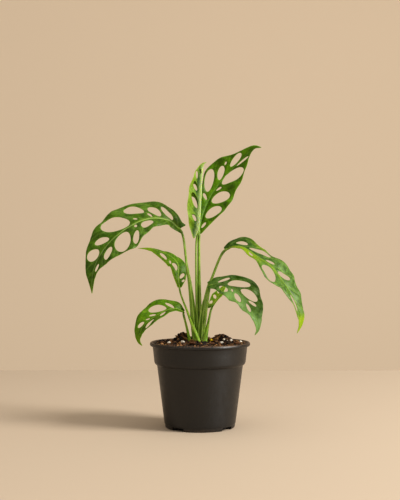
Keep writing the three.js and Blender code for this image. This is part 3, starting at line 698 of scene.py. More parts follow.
def sheet_faces(triangles, count):
    """Both sides of a sheet and the wall around its open edges."""
    flipped = triangles[:, ::-1] + count
    sides = np.concatenate([triangles[:, [0, 1]], triangles[:, [1, 2]], triangles[:, [2, 0]]])
    known = {(a, b) for a, b in sides.tolist()}
    walls = [(a, a + count, b + count, b) for a, b in sides.tolist() if (b, a) not in known]
    return triangles.tolist() + flipped.tolist() + walls


def tones_of(name, along, across, share, margin):
    """Where a blade is fresh yellow-green, where painted sheen lightens it, and where painted
    shade darkens it.
    """
    out = np.abs(across)
    fresh = 0.35 * ease(0.12, 0.0, share)
    # Below, 'light' is painted sheen on parts turned to the light, and 'deep' is painted shade,
    # such as on base lobes that turn away.
    light = deep = np.zeros(len(along))
    if name == "left_high":
        deep = 0.6 * ease(5, -1, along) * ease(1, 4, across)
        fresh = 0.6 * ease(0.9, 1.0, share) + 0.5 * hump(out, 0, 1.6) * ease(0.5, 0.3, share)
        light = 0.35 * ease(12, 26, across)
    elif name == "top_right":
        light = 0.5 * hump(across, -4, 3) * ease(0.2, 0.4, share)
    elif name == "young":
        # Painted shade along the fold, at the base, and in spots where the shaded far half shows
        # through the holes.
        deep = 0.6 * hump(out, 4.5, 2.6) + 0.7 * ease(6, -4, along)
        for a, o, size in ((59, 4.5, 5.5), (47, 6.5, 3), (25, 8, 3), (10, 4, 6.5), (33, 3.2, 5)):
            deep = deep + 0.8 * hump(along, a, size) * hump(out, o, 0.5 * size)
        deep = np.clip(deep, 0, 0.95) * ease(0.4, 1.4, margin)
        fresh = 0.95 * np.exp(-margin / 1.5)
        light = 0.6 * ease(8, 12, out)
    elif name == "right_high":
        light = 0.22 * ease(0.3, 0.45, share) - 0.22 * ease(0.3, 0.15, share)
        slit = 0.6 * hump(along, 40, 13) * hump(across, -13, 2.5)
        seam = 0.6 * hump(along, 62, 24) * hump(across, 2.5, 2)
        near_base = 0.85 * ease(0.42, 0.25, share) * ease(0, 3, across)
        outer_edge = 0.7 * ease(0.7, 0.78, share) * np.exp(-margin) * (across > 0)
        fresh = np.max([ease(0.83, 0.9, share), near_base, slit + seam, outer_edge], axis=0)
    elif name == "right_low":
        light = 0.9 * ease(-1, 6, across) * ease(0.12, 0.35, share) + 0.5 * ease(0.6, 0.85, share)
    elif name == "left_low":
        fresh = 0.8 * ease(0.7, 0.95, share)
        light = 0.3 * ease(0, 8, across)
    elif name == "left_mid":
        fresh = 0.75 * ease(0.68, 0.86, share) + 0.7 * np.exp(-margin / 1.4) * (across < 0)
        deep = 0.2 * ease(0.7, 0.3, share) + 0.3 * ease(0.55, 0.2, share) * hump(across, 4, 4)
        deep = deep * ease(0.4, 1.6, margin)
    elif name == "right_back":
        fresh = 0.5 * hump(out, 0, 2)
        deep = 0.6 * ease(4, -2, along)
    return dict(fresh=np.clip(fresh, 0, 1), light=light, deep=np.clip(deep, 0, 1))


# %% Make the eight blades
blade_faces = 0
for name, blade in BLADES.items():
    route = make_route(blade["midrib"])
    length = route[1][-1]
    flat, triangles, edge, holes = flat_blade(blade, length)
    upper, lower, margin, masks = relief(blade, length, flat, edge, holes)
    along, across = flat.T
    sides = [bend(blade, route, along, across, height) for height in (upper, lower)]
    faces = sheet_faces(triangles, len(flat))
    masks.update(tones_of(name, along, across, np.clip(along / length, 0, 1), margin))
    masks.update(along=along / 10, across=across / 10)
    finish = leaf_material("leaf " + name.replace("_", " "), blade["greens"], blade["gloss"],
                           blade.get("glow", 0.22))
    slot = "young_leaf" if name in ("young", "left_mid", "right_back") else "leaf"
    piece = new_piece(
        "blade_" + name, np.concatenate(sides), faces, finish, slot, ["leaf_" + name])
    paint(piece, **{key: np.tile(values, 2) for key, values in masks.items()})
    paint(piece, under=np.repeat([0.0, 1.0], len(flat)))
    blade_faces += len(faces)
print("blade faces:", blade_faces)

# %% [markdown]
# ## The stalks
#
# Each leaf stands on its own stalk. The lower part of the stalk is a sheath: two thin wings
# that clasp the next younger stalk and end in a small free point. The top has a short knee
# that turns the blade to the light. One closed tube with a shaped section makes all of it,
# because the wings grow out of the stalk without a seam.

# %% Stalk material
def stalk_material(name, green, pale, deep):
    """Satin stalk with fine lengthwise stripes, a pale sheath, a darker knee and painted shade in
    the sheath's groove.
    """
    material, tree, shader = new_material(name)
    place = add_node(tree, "CombineXYZ", {
        "X": number(tree, "along", 0.25), "Y": number(tree, "around")})
    stripes = use_group(tree, mottle, {"Place": place.outputs[0], "Scale": 3.0, "Contrast": 0.9})
    skin = blend(tree, times(tree, stripes["Mask"], 0.5), linear(green), linear(pale))
    skin = blend(tree, number(tree, "pale"), skin, linear(pale))
    height = calc(tree, "ADD", stripes["Mask"], stripes["Fine"])
    fill_in(tree, shader, {
        # The 'deep' number paints shade in the sheath's groove and darkens the knee.
        "Base Color": blend(tree, number(tree, "deep"), skin, linear(deep)),
        "Roughness": spread(tree, stripes["Fine"], 0.3, 0.7, 0.26, 0.42),
        "Normal": bump(tree, height, 0.3, 0.0002), "Specular IOR Level": 0.45,
        "Subsurface Weight": 0.2, "Subsurface Radius": (0.6, 1.0, 0.2),
        "Subsurface Scale": 0.0015})
    return material


# The third colour of each finish is the painted shade in the sheath's groove and the darker knee.
stalk_green = stalk_material("stalk", "#5a8a00", "#d0e87c", "#2c5000")
stalk_bright = stalk_material("bright stalk", "#70a400", "#c8dc5c", "#447400")
trunk_finish = stalk_material("trunk", "#7ca024", "#d0dc98", "#54701c")

# %% [markdown]
# A stalk's numbers are its path from the mix to the blade, its radius at even steps, how
# far up the sheath reaches, and the way that the sheath's opening looks.

# %% The eight stalks in numbers
STALKS = {
    "left_high": dict(
        path=[[-5.5, -1, 90], [-6.2, -2, 104], [-7.8, -2.5, 121], [-9.2, -2.5, 139],
              [-11, -2.5, 157], [-13.2, -2, 175], [-15.5, -2, 189.5], [-17.2, -1, 205],
              [-18.5, -1, 217], [-20, 0, 226.5], [-22.2, 0, 233]],
        radius=[2.8, 3.2, 3.1, 2.6, 2, 1.55, 1.45, 1.4, 1.35], sheath=0.68, opening=[1, -0.5, 0],
        wing=2.2),
    "top_right": dict(
        path=[[0, 1.5, 124], [-0.8, 1.5, 150], [-1.2, 1.5, 180], [-1.4, 1, 205],
              [-1.4, 0.4, 222]],
        radius=[2.8, 2.5, 2, 1.7, 1.5], sheath=0.42, opening=[-0.6, -1, 0], wing=1.2),
    "young": dict(
        path=[[-1, 0.8, 112], [-3, -1.2, 124], [-4, -2.4, 150], [-4.5, -3.4, 180],
              [-4.7, -4.6, 205], [-4.2, -6, 222]],
        radius=[1.8, 1.6, 1.4, 1.2, 1.2], sheath=0.2, opening=[1, 0, 0], wing=0.5),
    "right_high": dict(
        path=[[1.8, -5, 90], [2.2, -5, 108], [3, -5, 124], [4.4, -4.6, 140], [6.2, -4.8, 153],
              [8.4, -5, 163], [10.4, -5, 170], [13.4, -5, 176], [17.6, -5, 186.8],
              [22.6, -5, 199.6], [26.8, -5, 207.5]],
        radius=[2.7, 3.1, 3, 2.2, 1.55, 1.5, 1.5, 1.45], sheath=0.48, opening=[-0.7, -0.7, 0],
        wing=2.2),
    "right_low": dict(
        path=[[2.8, -5.4, 109], [4.8, -7.6, 119], [6.6, -9.6, 132], [8.4, -9.8, 147],
              [10.2, -9.6, 159], [11.3, -9.3, 165.5]],
        radius=[1.7, 1.7, 1.4, 1.3, 1.15], sheath=0.3, opening=[-1, 0, 0], wing=0.8),
    "left_mid": dict(
        path=[[0, -13, 90], [-1, -13, 100], [-3.7, -12.4, 108.5], [-7.5, -10.6, 118],
              [-11.3, -7.4, 127.6], [-16, -2.5, 140.2], [-19.2, 1, 147.6], [-22.9, 4.5, 157.4],
              [-24.4, 6.6, 163.5]],
        radius=[1.7, 2.1, 1.9, 1.5, 1.2, 1.05, 0.9], sheath=0.4, opening=[0.8, 0.6, 0], wing=0.6),
    "left_low": dict(
        path=[[-11.4, -4, 90], [-12.4, -4, 101.7], [-13.6, -4, 109.4], [-15.9, -3, 119.5],
              [-18.2, -2, 128.5], [-19.6, -1, 134]],
        radius=[2, 1.9, 1.6, 1.3, 1.1], sheath=0.4, opening=[1, 0.2, 0], wing=0.9),
    "right_back": dict(
        path=[[6, -9, 90], [6.2, -8.6, 102], [7.6, -6, 113], [9.4, -2.4, 122], [11.4, 1.8, 132],
              [13, 5.4, 138.6]],
        radius=[2.2, 2.7, 2.2, 1.6, 1.2, 1.05], sheath=0.55, opening=[-1, 0.3, 0], wing=0.9),
}
WING_ANGLE = 0.8
print("stalks:", ", ".join(STALKS))

# %% Shape a stalk
def section_angles():
    """Angles around a stalk, close together where the wings are."""
    wing = WING_ANGLE + np.array([-0.26, -0.15, -0.07, 0, 0.07, 0.15, 0.26])
    back = np.linspace(WING_ANGLE + 0.5, 2 * math.pi - WING_ANGLE - 0.5, 15)
    front = np.linspace(-WING_ANGLE + 0.5, WING_ANGLE - 0.5, 3)
    return np.sort(np.concatenate([wing, 2 * math.pi - wing, back, front % (2 * math.pi)]))


def carried_frames(ways, first_side):
    """Side directions along a route that turn no more than they must."""
    sides = []
    side = np.asarray(first_side, float)
    for way in ways:
        side = side - way * np.dot(side, way)
        side = side / np.linalg.norm(side)
        sides.append(side)
    sides = np.array(sides)
    return sides, np.cross(ways, sides)


def tube(places, frames, radii, angles):
    """A closed tube: radii holds a row of section radii for each place."""
    sides, others = frames
    out = sides[:, None] * np.cos(angles)[:, None] + others[:, None] * np.sin(angles)[:, None]
    verts = (places[:, None] + out * radii[..., None]).reshape(-1, 3)
    return verts, ring_solid(len(places), len(angles))


def path_under_blade(name, path):
    """A stalk's path, led on for a few millimetres under its blade's midrib."""
    start, second = np.array(BLADES[name]["midrib"][:2], float)
    way = unit(second - start)
    face = np.array(BLADES[name]["face"][0], float)
    face = unit(face - way * face.dot(way))
    return path + [start - 0.4 * face, start + 4 * way - 1.1 * face]


def make_stalk(name, stalk, finish):
    """One stalk with its sheath, from the mix to the blade."""
    route = make_route(path_under_blade(name, stalk["path"]))
    length = route[1][-1]
    gone = np.linspace(0, length, int(length / 1.3) + 2)
    share = gone / length
    places, ways = on_route(route, gone)
    angles = section_angles()
    knee = hump(length - gone, 9, 4)
    core = smooth_samples(stalk["radius"], share) * (1 + 0.12 * knee)
    core = core * (1 + 0.02 * np.sin(gone * 0.9 + len(name)))
    core = core * (0.45 + 0.55 * ease(0, 4.5, length - gone))
    left_of_sheath = np.clip(1 - share / stalk["sheath"], 0, 1)
    wing = stalk["wing"] * left_of_sheath ** 0.45 * ease(-0.02, 0.06, left_of_sheath)
    turn = np.minimum(angles, 2 * math.pi - angles)
    shape = hump(turn, WING_ANGLE, 0.11)
    radii = core[:, None] * (1 - 0.16 * hump(turn, 0, 0.6)) + wing[:, None] * shape
    verts, faces = tube(places, carried_frames(ways, stalk["opening"]), radii, angles)
    piece = new_piece("stalk_" + name, verts, faces, finish, "stem", ["petiole_" + name])
    wings = shape * np.minimum(wing, 1)[:, None]
    # Painted shade in the groove between the sheath's wings. The 'deep' number carries it together
    # with the darker knee.
    painted_groove_shade = 0.55 * hump(turn, 0, 0.55) * ease(0, 0.1, left_of_sheath)[:, None]
    paint(piece, along=np.repeat(gone / 10, len(angles)),
          around=np.tile(np.sin(angles / 2) * 5, len(gone)),
          pale=np.clip(0.85 * wings + 0.3 * ease(0.3, 0.0, share)[:, None], 0, 1).ravel(),
          deep=np.clip(painted_groove_shade + 0.5 * knee[:, None], 0, 1).ravel())
    return len(faces)


bright = ("right_back", "left_low", "left_mid")
made = [make_stalk(n, s, stalk_bright if n in bright else stalk_green) for n, s in STALKS.items()]
print("stalk faces:", sum(made))

# %% [markdown]
# ## The trunk
#
# The stalks grow from a short trunk, which shows only between the sheaths. It is paler
# than they are and ringed where older leaves stood.

# %% Trunk
trunk_route = make_route([[0.5, 2, 88], [0.5, 2, 100], [0, 2, 112], [-0.6, 1.6, 123]])
trunk_gone = np.linspace(0, trunk_route[1][-1], 60)
trunk_places, trunk_ways = on_route(trunk_route, trunk_gone)
trunk_angles = np.linspace(0, 2 * math.pi, 28, endpoint=False)
trunk_core = smooth_samples([4.6, 5, 4.6, 3.2], trunk_gone / trunk_gone[-1])
trunk_rings = 1 + 0.05 * hump((trunk_gone + 3) % 9, 4.5, 0.6)
trunk_radii = (trunk_core * trunk_rings)[:, None] * (1 + 0.03 * np.sin(3 * trunk_angles))
trunk_verts, trunk_faces = tube(
    trunk_places, carried_frames(trunk_ways, [0, -1, 0]), trunk_radii, trunk_angles)
trunk = new_piece("stem_base", trunk_verts, trunk_faces, trunk_finish, "stem", ["trunk"])
paint(trunk, along=np.repeat(trunk_gone / 10, len(trunk_angles)),
      around=np.tile(trunk_angles * 1.2, len(trunk_gone)),
      pale=np.repeat(0.3 * (trunk_rings > 1.02), len(trunk_angles)))
print("trunk faces:", len(trunk_faces))

# %% [markdown]
# ## The pot
#
# A nursery pot is one thin injection-moulded wall: a cone with a step near the top, where
# pots rest on each other in a stack, a plain collar above it, and a rolled rim. Turning a
# profile about the axis makes it. Each corner of the profile is replaced by a small arc,
# since moulded plastic has no sharp edge, and the arcs catch the thin lines of light that
# make the pot look solid.

# %% Pot material
pot_finish, tree, shader = new_material("pot plastic")
clouds = use_group(tree, mottle, {"Place": object_place(tree), "Scale": 22.0, "Contrast": 0.5})
grains = use_group(tree, mottle, {"Place": object_place(tree), "Scale": 420.0, "Contrast": 0.9})
dusty = times(tree, number(tree, "dust"), grains["Mask"])
plastic = blend(tree, times(tree, clouds["Mask"], 0.5), linear("#060708"), linear("#0b0e11"))
pot_rough = spread(tree, clouds["Fine"], 0.3, 0.7, 0.34, 0.44)
fill_in(tree, shader, {
    "Base Color": blend(tree, times(tree, dusty, 0.9), plastic, linear("#6a5038")),
    "Roughness": calc(tree, "ADD", pot_rough, times(tree, dusty, 0.25)),
    "Normal": bump(tree, calc(tree, "ADD", grains["Fine"], dusty), 0.25, 0.00015),
    "Specular IOR Level": 0.7})
print("material:", pot_finish.name)

# %% Pot profile and mesh
POT_SIDES = 160
# Radius, height and the corner's own radius, from the middle of the floor's underside
# out, up the outside, over the rim and down the inside.
POT_PROFILE = [
    (0, 0.6, 0), (30, 0.6, 0.3), (31.5, 0, 0.5), (40.5, 0, 0.7), (41.5, 1, 0.5), (41.9, 4.6, 0.4),
    (42.5, 5.2, 0.3), (51.3, 73.9, 0.8), (53.5, 75.6, 0.9), (54.5, 77.6, 0.9), (56.6, 96.6, 0.5),
    (59.1, 97, 0.7), (60, 98.4, 0.9), (59.7, 100.5, 0.9), (58.6, 101.5, 0.7), (57, 101.1, 0.9),
    (55.1, 96, 1.2), (53, 78.2, 0.8), (49.8, 74.5, 0.8), (40.7, 5, 1.5), (38.9, 1.5, 0.8),
    (0, 1.5, 0),
]


def rounded_profile(corners, steps=4):
    """A profile whose corners are small arcs."""
    line = []
    for k, (r, z, size) in enumerate(corners):
        here = np.array([r, z], float)
        if size == 0:
            line.append(here)
            continue
        before = np.array(corners[k - 1][:2], float) - here
        after = np.array(corners[k + 1][:2], float) - here
        reach = min(size, 0.45 * np.linalg.norm(before), 0.45 * np.linalg.norm(after))
        a = here + unit(before) * reach
        b = here + unit(after) * reach
        for w in np.linspace(0, 1, steps):
            line.append((1 - w) ** 2 * a + 2 * w * (1 - w) * here + w * w * b)
    return np.array(line)


def filled(line, longest):
    """Adds points along the long straight parts of a line."""
    out = [line[0]]
    for a, b in zip(line, line[1:]):
        parts = max(1, int(np.linalg.norm(b - a) / longest))
        out += [a + (b - a) * w for w in np.linspace(0, 1, parts + 1)[1:]]
    return np.array(out)


def lathe(line, sides):
    """A closed solid of revolution from a line that starts and ends on the axis."""
    turns = np.linspace(0, 2 * math.pi, sides, endpoint=False)
    r, z = line[1:-1, :1], line[1:-1, 1:]
    rings = np.stack([r * np.cos(turns), r * np.sin(turns), np.repeat(z, sides, 1)], -1)
    return rings.reshape(-1, 3), ring_solid(len(r), sides)


pot_line = filled(rounded_profile(POT_PROFILE), 6)
pot_verts, pot_faces = lathe(pot_line, POT_SIDES)
pot = new_piece("nursery_pot", pot_verts, pot_faces, pot_finish, "pot_plastic", ["pot"])
print("pot faces:", len(pot_faces))

# %% [markdown]
# Four notches at the foot let water out when the pot stands on a flat saucer. They are cut
# by a Boolean modifier with short wedges. The modifier is applied at once, so that what
# was cut can be measured.

# %% Cut the notches
NOTCH_ANGLES = (51, 141, 231, 321)
NOTCH_HALF_WIDTH = 11.5
NOTCH_TOP = 3.8
NOTCH_INNER = 33
NOTCH_OUTER = 46
NOTCH_LOW = -1


def wedge(angle):
    """A ring-shaped wedge that reaches through the wall and the floor's edge."""
    turns = np.radians(angle + np.linspace(-NOTCH_HALF_WIDTH, NOTCH_HALF_WIDTH, 9))
    corners = [(NOTCH_INNER, NOTCH_TOP), (NOTCH_OUTER, NOTCH_TOP),
               (NOTCH_OUTER, NOTCH_LOW), (NOTCH_INNER, NOTCH_LOW)]
    return [(r * math.sin(t), -r * math.cos(t), z) for t in turns for r, z in corners]


cutter_verts, cutter_faces = [], []
for angle in NOTCH_ANGLES:
    cutter_faces += [tuple(i + len(cutter_verts) for i in face) for face in ring_solid(9, 4)]
    cutter_verts += wedge(angle)
cutter_mesh = bpy.data.meshes.new("notches")
cutter_mesh.from_pydata((np.array(cutter_verts) * MM).tolist(), [], cutter_faces)
cutter = bpy.data.objects.new("notches", cutter_mesh)
bpy.context.collection.objects.link(cutter)
cut = pot.modifiers.new("notches", "BOOLEAN")
cut.operation = "DIFFERENCE"
cut.solver = "EXACT"
cut.object = cutter
bpy.context.view_layer.update()
whole = pot.evaluated_get(bpy.context.evaluated_depsgraph_get())
cut_mesh = bpy.data.meshes.new_from_object(whole)
pot.modifiers.clear()
pot.data = cut_mesh
bpy.data.objects.remove(cutter)
cut_mesh.set_sharp_from_angle(angle=math.radians(38))
spots = np.zeros(len(cut_mesh.vertices) * 3, np.float32)
cut_mesh.vertices.foreach_get("co", spots)
height = spots.reshape(-1, 3)[:, 2] / MM
paint(pot, dust=np.maximum(0.8 * ease(99.3, 101, height), 0.25 * ease(5, 1, height)))
print("pot faces after cutting:", len(cut_mesh.polygons))

# %% [markdown]
# ## The potting mix
#
# The mix is bark, coir and perlite, in crumbs from 1 to 6 mm. Only its top can be seen.
# Below is a closed bed that follows the same mounds as the frame's solid, and on it lie
# nearly twelve hundred loose crumbs. Each is a small lump from one of fourteen moulds,
# turned and stretched its own way; a painted tone makes one nearly black and the next
# light tan.

# %% Materials of the mix
def crumb_material(name, tones, roughness, gloss=0.4):
    """A dry or damp crumb whose tone is painted on each vertex."""
    material, tree, shader = new_material(name)
    speckle = use_group(tree, mottle, {
        "Place": object_place(tree), "Scale": 900.0, "Contrast": 0.7})
    tone = calc(tree, "ADD", number(tree, "tone"), times(tree, speckle["Mask"], 0.22))
    ramp = add_node(tree, "ValToRGB", {"Fac": tone})
    steps = ramp.color_ramp.elements
    steps[0].color, steps[1].color = linear(tones[0]), linear(tones[-1])
    for k, code in enumerate(tones[1:-1], 1):
        steps.new(k / (len(tones) - 1)).color = linear(code)
    fill_in(tree, shader, {
        "Base Color": ramp.outputs["Color"],
        "Roughness": spread(tree, speckle["Fine"], 0.3, 0.7, roughness - 0.12, roughness + 0.08),
        "Normal": bump(tree, speckle["Fine"], 0.6, 0.0005), "Specular IOR Level": gloss})
    return material


mix_finish = crumb_material(
    "potting mix", ["#0c0704", "#22130a", "#482c17", "#7c5430", "#b48c5c"], 0.58)
perlite_finish = crumb_material("perlite", ["#e2d6bc", "#f2e8d4", "#fdf6e8", "#fffcf4"], 0.9, 0.2)
bark_finish = crumb_material("bark", ["#2a180d", "#4a2c18", "#6f4728", "#946844"], 0.7)
prill_finish = crumb_material("prill", ["#e0ac00", "#ffd000", "#ffe438"], 0.35, 0.5)
root_finish = crumb_material("root", ["#a08a62", "#cdb890", "#dccba8"], 0.8)
print("materials of the mix made")

# %% The bed under the crumbs
# Each mound: x, y, height and width.
MOUNDS = [[-22, 9, 9, 10], [26, 9, 9, 11], [34, -6, 3, 9], [-38, 10, 2, 10], [-4, 16, 3, 14]]
SOIL_EDGE = 98.3
BED_SIDES = 150
BED_RADIUS = 54.6
# Outside this radius the bed is even and lies a little lower.
EVEN_FROM = 53
# Radius and height of the bed's two lower rings, which are hidden in the pot.
BED_FOOT = ((54.3, 88), (50, 86))


def soil_height(x, y):
    """The height of the mix, as in the frame's solid."""
    z = SOIL_EDGE + 3 * np.exp(-(x * x + y * y) / 900)
    z = z + 0.5 * np.sin(0.31 * x + 1) * np.cos(0.37 * y)
    z = z + 0.3 * np.sin(0.7 * x + 0.55 * y)
    for mx, my, high, wide in MOUNDS:
        z = z + high * np.exp(-((x - mx) ** 2 + (y - my) ** 2) / wide**2)
    return z


def rough_at(x, y, size):
    return noise.noise(Vector((x / size, y / size, 3.7)))


radii = np.concatenate([np.linspace(1, 54, 60), [BED_RADIUS]])
turns = [2 * math.pi * k / BED_SIDES for k in range(BED_SIDES)]
bed_verts = []
for r in radii:
    for a in turns:
        x, y = r * math.cos(a), r * math.sin(a)
        lump = 0.7 * rough_at(x, y, 3.1) + 0.5 * rough_at(x, y, 1.4) - 0.5
        bed_verts.append((x, y, float(soil_height(x, y)) + (lump if r < EVEN_FROM else -0.6)))
bed_verts += [(r * math.cos(a), r * math.sin(a), z) for r, z in BED_FOOT for a in turns]
bed_faces = [face[::-1] for face in ring_solid(len(radii) + 2, BED_SIDES)]
bed = new_piece("mix_bed", bed_verts, bed_faces, mix_finish, "potting_mix", ["soil"])
paint(bed, tone=[0.18 + 0.3 * rough_at(x, y, 2.2) for x, y, z in bed_verts])
print("bed faces:", len(bed_faces))

# %% [markdown]
# The bed replaces the soil's top and its edge, while its lower part stays out of sight in
# the pot. The crumbs come next. They are scattered by chance from a fixed seed, so the same
# crumbs come back on every run. None may hide one of the large chips, which have names.

# %% Crumb moulds
def ball(levels):
    """A sphere of triangles with radius 1."""
    g = (1 + math.sqrt(5)) / 2
    verts = [Vector(v) for a in (1, -1) for b in (g, -g)
             for v in ((a, b, 0), (0, a, b), (b, 0, a))]
    faces = [f for f in combinations(range(12), 3)
             if all((verts[i] - verts[j]).length < 2.1 for i, j in combinations(f, 2))]
    faces = [(a, b, c) if verts[a].cross(verts[b]).dot(verts[c]) > 0 else (a, c, b)
             for a, b, c in faces]
    verts = [v.normalized() for v in verts]
    for _ in range(levels):
        between, finer_faces = {}, []

        def middle(a, b):
            key = (min(a, b), max(a, b))
            if key not in between:
                between[key] = len(verts)
                verts.append((verts[a] + verts[b]).normalized())
            return between[key]

        for a, b, c in faces:
            ab, bc, ca = middle(a, b), middle(b, c), middle(c, a)
            finer_faces += [(a, ab, ca), (b, bc, ab), (c, ca, bc), (ab, bc, ca)]
        faces = finer_faces
    return np.array([tuple(v) for v in verts]), np.array(faces)


def lump(levels, seed, roughness, detail):
    """A ball pushed in and out by noise into a crumb."""
    verts, faces = ball(levels)
    out = []
    for v in verts:
        p = Vector(v) * detail + Vector((seed * 7.1, seed * 3.3, 0))
        push = noise.noise(p) + 0.5 * noise.noise(p * 2.3)
        out.append(v * (1 + roughness * push))
    return np.array(out), faces


moulds = [lump(1, s, 0.75, 1.4) for s in range(14)]
print("moulds:", len(moulds))


# %% Scatter the crumbs
def turned(verts, size, spin):
    """Stretches and turns a mould by a random spin."""
    first, second, third = [Matrix.Rotation(a, 3, axis) for a, axis in zip(spin, "ZXZ")]
    return (verts * size) @ np.array(first @ second @ third).T


# Name, x, y, length, width, height and turn in degrees.
CHIPS = [
    ["perlite_front_left", -37, -6, 5, 3.6, 3, 20],
    ["perlite_front_mid", -20.5, -8, 5.4, 3.6, 3.2, -35],
    ["perlite_right", 37, -6, 4, 3.4, 3.2, 60],
    ["perlite_front_right", 25.5, -14, 5, 3.4, 2.8, 10],
    ["perlite_mound", 28.5, -5, 4, 3.2, 2.6, 75], ["perlite_edge_right", 49, 10, 3.6, 3, 2.4, 0],
    ["bark_left", -45, 0, 8, 4.5, 2.6, 35], ["bark_front", -9, -22, 9, 5, 3, -20],
    ["bark_front_right", 14, -20, 8, 5, 3, 40], ["bark_right", 43, -12, 9, 5.5, 3, -50],
    ["bark_back_left", -30, 30, 9, 5, 3, 15], ["bark_back_right", 22, 36, 8, 5, 3, 70],
    ["fertiliser_prill", 13.5, -3, 3.4, 3.4, 3.2, 0],
]


# Within this radius of the stalks lie only crumbs that are no bigger than this.
STALK_ROOM = 9
BIG_BY_STALKS = 2.2


def in_the_way(x, y, big):
    """Whether a crumb is too big for its place by the stalks, or hides a named chip."""
    by_stalks = (x - 0.5) ** 2 + (y + 2) ** 2 < STALK_ROOM**2
    return by_stalks and big > BIG_BY_STALKS or any(
        (x - cx) ** 2 + ((y - cy + 1.5) * 0.7) ** 2 < (0.4 * long + 0.5 * big) ** 2
        for _, cx, cy, long, *_ in CHIPS)


def scatter(count, low, high, tones, reach):
    """Crumbs spread over the mix, with their tones."""
    verts, faces, painted, total = [], [], [], 0
    for _ in range(count):
        r = reach * math.sqrt(chance.random())
        a = 2 * math.pi * chance.random()
        x, y = r * math.cos(a), r * math.sin(a)
        big = low + (high - low) * chance.random() ** 1.7
        if in_the_way(x, y, big):
            continue
        mould, mould_faces = moulds[chance.randrange(len(moulds))]
        size = np.array([1, chance.uniform(0.55, 0.95), chance.uniform(0.4, 0.8)]) * big / 2
        spin = (chance.uniform(0, 6.28), chance.gauss(0, 0.5), chance.uniform(0, 6.28))
        if r + big * 0.55 > BED_RADIUS:
            r = BED_RADIUS - big * 0.6
            x, y = r * math.cos(a), r * math.sin(a)
        z = float(soil_height(x, y)) + big * chance.uniform(-0.06, 0.2)
        verts.append(turned(mould, size, spin) + [x, y, z])
        faces.append(mould_faces + total)
        total += len(mould)
        painted += [tones[0] + (tones[1] - tones[0]) * chance.random() ** 1.3] * len(mould)
    return np.concatenate(verts), np.concatenate(faces).tolist(), painted


verts, faces, tones = scatter(1350, 1.8, 6.4, (0.0, 0.85), 54)
crumbs = new_piece("mix_crumbs", verts, faces, mix_finish, "potting_mix", ["soil"], smooth=False)
paint(crumbs, tone=tones)
print("crumb faces:", len(faces))
verts, faces, tones = scatter(60, 0.9, 2.4, (0.3, 0.9), 52)
grit = new_piece("perlite_grit", verts, faces, perlite_finish, "perlite", ["soil"], smooth=False)
paint(grit, tone=tones)

# %% [markdown]
# The thirteen largest pieces have places of their own in the frame. Perlite is a white,
# popped grain; bark is a flat, fibrous flake; the yellow one is a grain of slow fertiliser.

# %% The thirteen named chips
LOOKS = {
    "perlite": (perlite_finish, "perlite", 0.3, 1.6),
    "bark": (bark_finish, "bark", 0.25, 1.1),
    "fertiliser": (prill_finish, "prill", 0.05, 1.0),
}
for index, (name, x, y, long, wide, high, turn) in enumerate(CHIPS):
    finish, slot, roughness, detail = LOOKS[name.split("_")[0]]
    verts, faces = lump(3, index + 40, roughness, detail)
    verts = verts / np.abs(verts).max(0) * np.array([long, wide, high]) / 2
    t = math.radians(turn)
    x_turned = verts[:, 0] * math.cos(t) - verts[:, 1] * math.sin(t)
    y_turned = verts[:, 0] * math.sin(t) + verts[:, 1] * math.cos(t)
    z = float(soil_height(x, y)) + 0.25 * high + 1.2
    chip = new_piece("chip_" + name, np.stack([x_turned + x, y_turned + y, verts[:, 2] + z], 1),
                     faces.tolist(), finish, slot, [name])
    paint(chip, tone=[0.35 + 0.35 * chance.random()] * len(verts))
print("chips:", len(CHIPS))

# %% [markdown]
# ## The roots
#
# The roots are hidden in the mix. The frame's own solid stays as it is and only gets a
# finish, so that an opened pot shows pale roots.

# %% Finish for the carried-over roots
for piece in bpy.data.objects:
    if piece.type == "MESH" and piece.name.split(".")[0] == "roots":
        piece.data.materials.clear()
        piece.data.materials.append(root_finish)
        print("finished:", piece.name)

# %% [markdown]
# ## The stage
#
# The plant stands on a plain floor before a plain wall. The wall is far enough away for a
# camera to go round behind the plant, and it glows a little, as the lights don't reach it.
# One large soft light on the right lays the shadow to the left, a low one gives the pot its
# band of light, and weak ones in front and above keep the dark leaves readable.

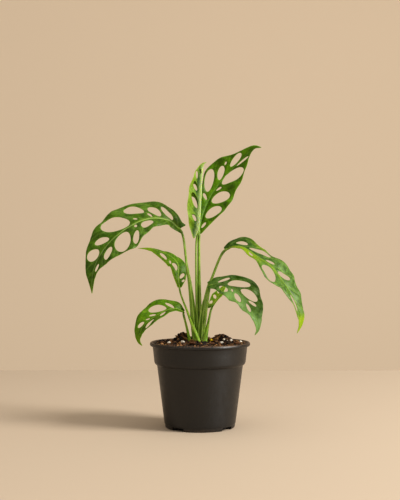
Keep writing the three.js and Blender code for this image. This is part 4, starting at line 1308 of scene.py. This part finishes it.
# %% Floor, wall and lights
def plain_material(name, code, glow):
    material, tree, shader = new_material(name)
    cloud = use_group(tree, mottle, {"Place": object_place(tree), "Scale": 3.0, "Contrast": 0.2})
    tint = blend(tree, times(tree, cloud["Mask"], 0.06), linear(code), linear("#b8aa94"))
    fill_in(tree, shader, {
        "Base Color": tint, "Emission Color": tint, "Emission Strength": glow, "Roughness": 0.85})
    return material


def stage_plane(name, corners, code, glow=0.0):
    mesh = bpy.data.meshes.new(name)
    mesh.from_pydata(corners, [], [(0, 1, 2, 3)])
    mesh.materials.append(plain_material(name, code, glow))
    plane = bpy.data.objects.new(name, mesh)
    bpy.context.collection.objects.link(plane)


FLOOR_END = 0.56
WALL_AWAY = 3.2
stage_plane("floor", [(-4, -3, 0), (4, -3, 0), (4, FLOOR_END, 0), (-4, FLOOR_END, 0)], "#c4b5a3")
stage_plane("wall", [(x, WALL_AWAY, z) for x, z in ((-6, -3), (6, -3), (6, 5), (-6, 5))],
            "#c2b09a", glow=0.38)


def area_light(name, place, target, size, power, tint):
    data = bpy.data.lights.new(name, "AREA")
    data.shape = "RECTANGLE"
    data.size, data.size_y = size
    data.energy = power
    data.color = tint
    light = bpy.data.objects.new(name, data)
    bpy.context.collection.objects.link(light)
    light.location = place
    light.rotation_euler = (Vector(target) - Vector(place)).to_track_quat("-Z", "Y").to_euler()


area_light("key", (2.3, -0.88, 1.6), (0, 0, 0.14), (1.0, 1.0), 82, (1.0, 0.94, 0.86))
area_light("fill", (-1.2, -1.5, 0.9), (0, 0, 0.15), (1.8, 1.4), 3.5, (1.0, 0.95, 0.88))
area_light("band", (1.7, -0.95, 0.3), (0, 0, 0.12), (0.5, 0.8), 11, (0.95, 0.98, 1.0))
area_light("top", (0.1, -0.2, 1.9), (0, 0, 0.1), (1.6, 1.6), 6, (1.0, 0.97, 0.92))
world = bpy.data.worlds.new("soft room")
bpy.context.scene.world = world
world.use_nodes = True
background = world.node_tree.nodes["Background"]
background.inputs["Color"].default_value = linear("#f3e8d8")
background.inputs["Strength"].default_value = 0.42
bpy.context.scene.view_settings.view_transform = "Standard"
bpy.context.scene.view_settings.look = "Medium High Contrast"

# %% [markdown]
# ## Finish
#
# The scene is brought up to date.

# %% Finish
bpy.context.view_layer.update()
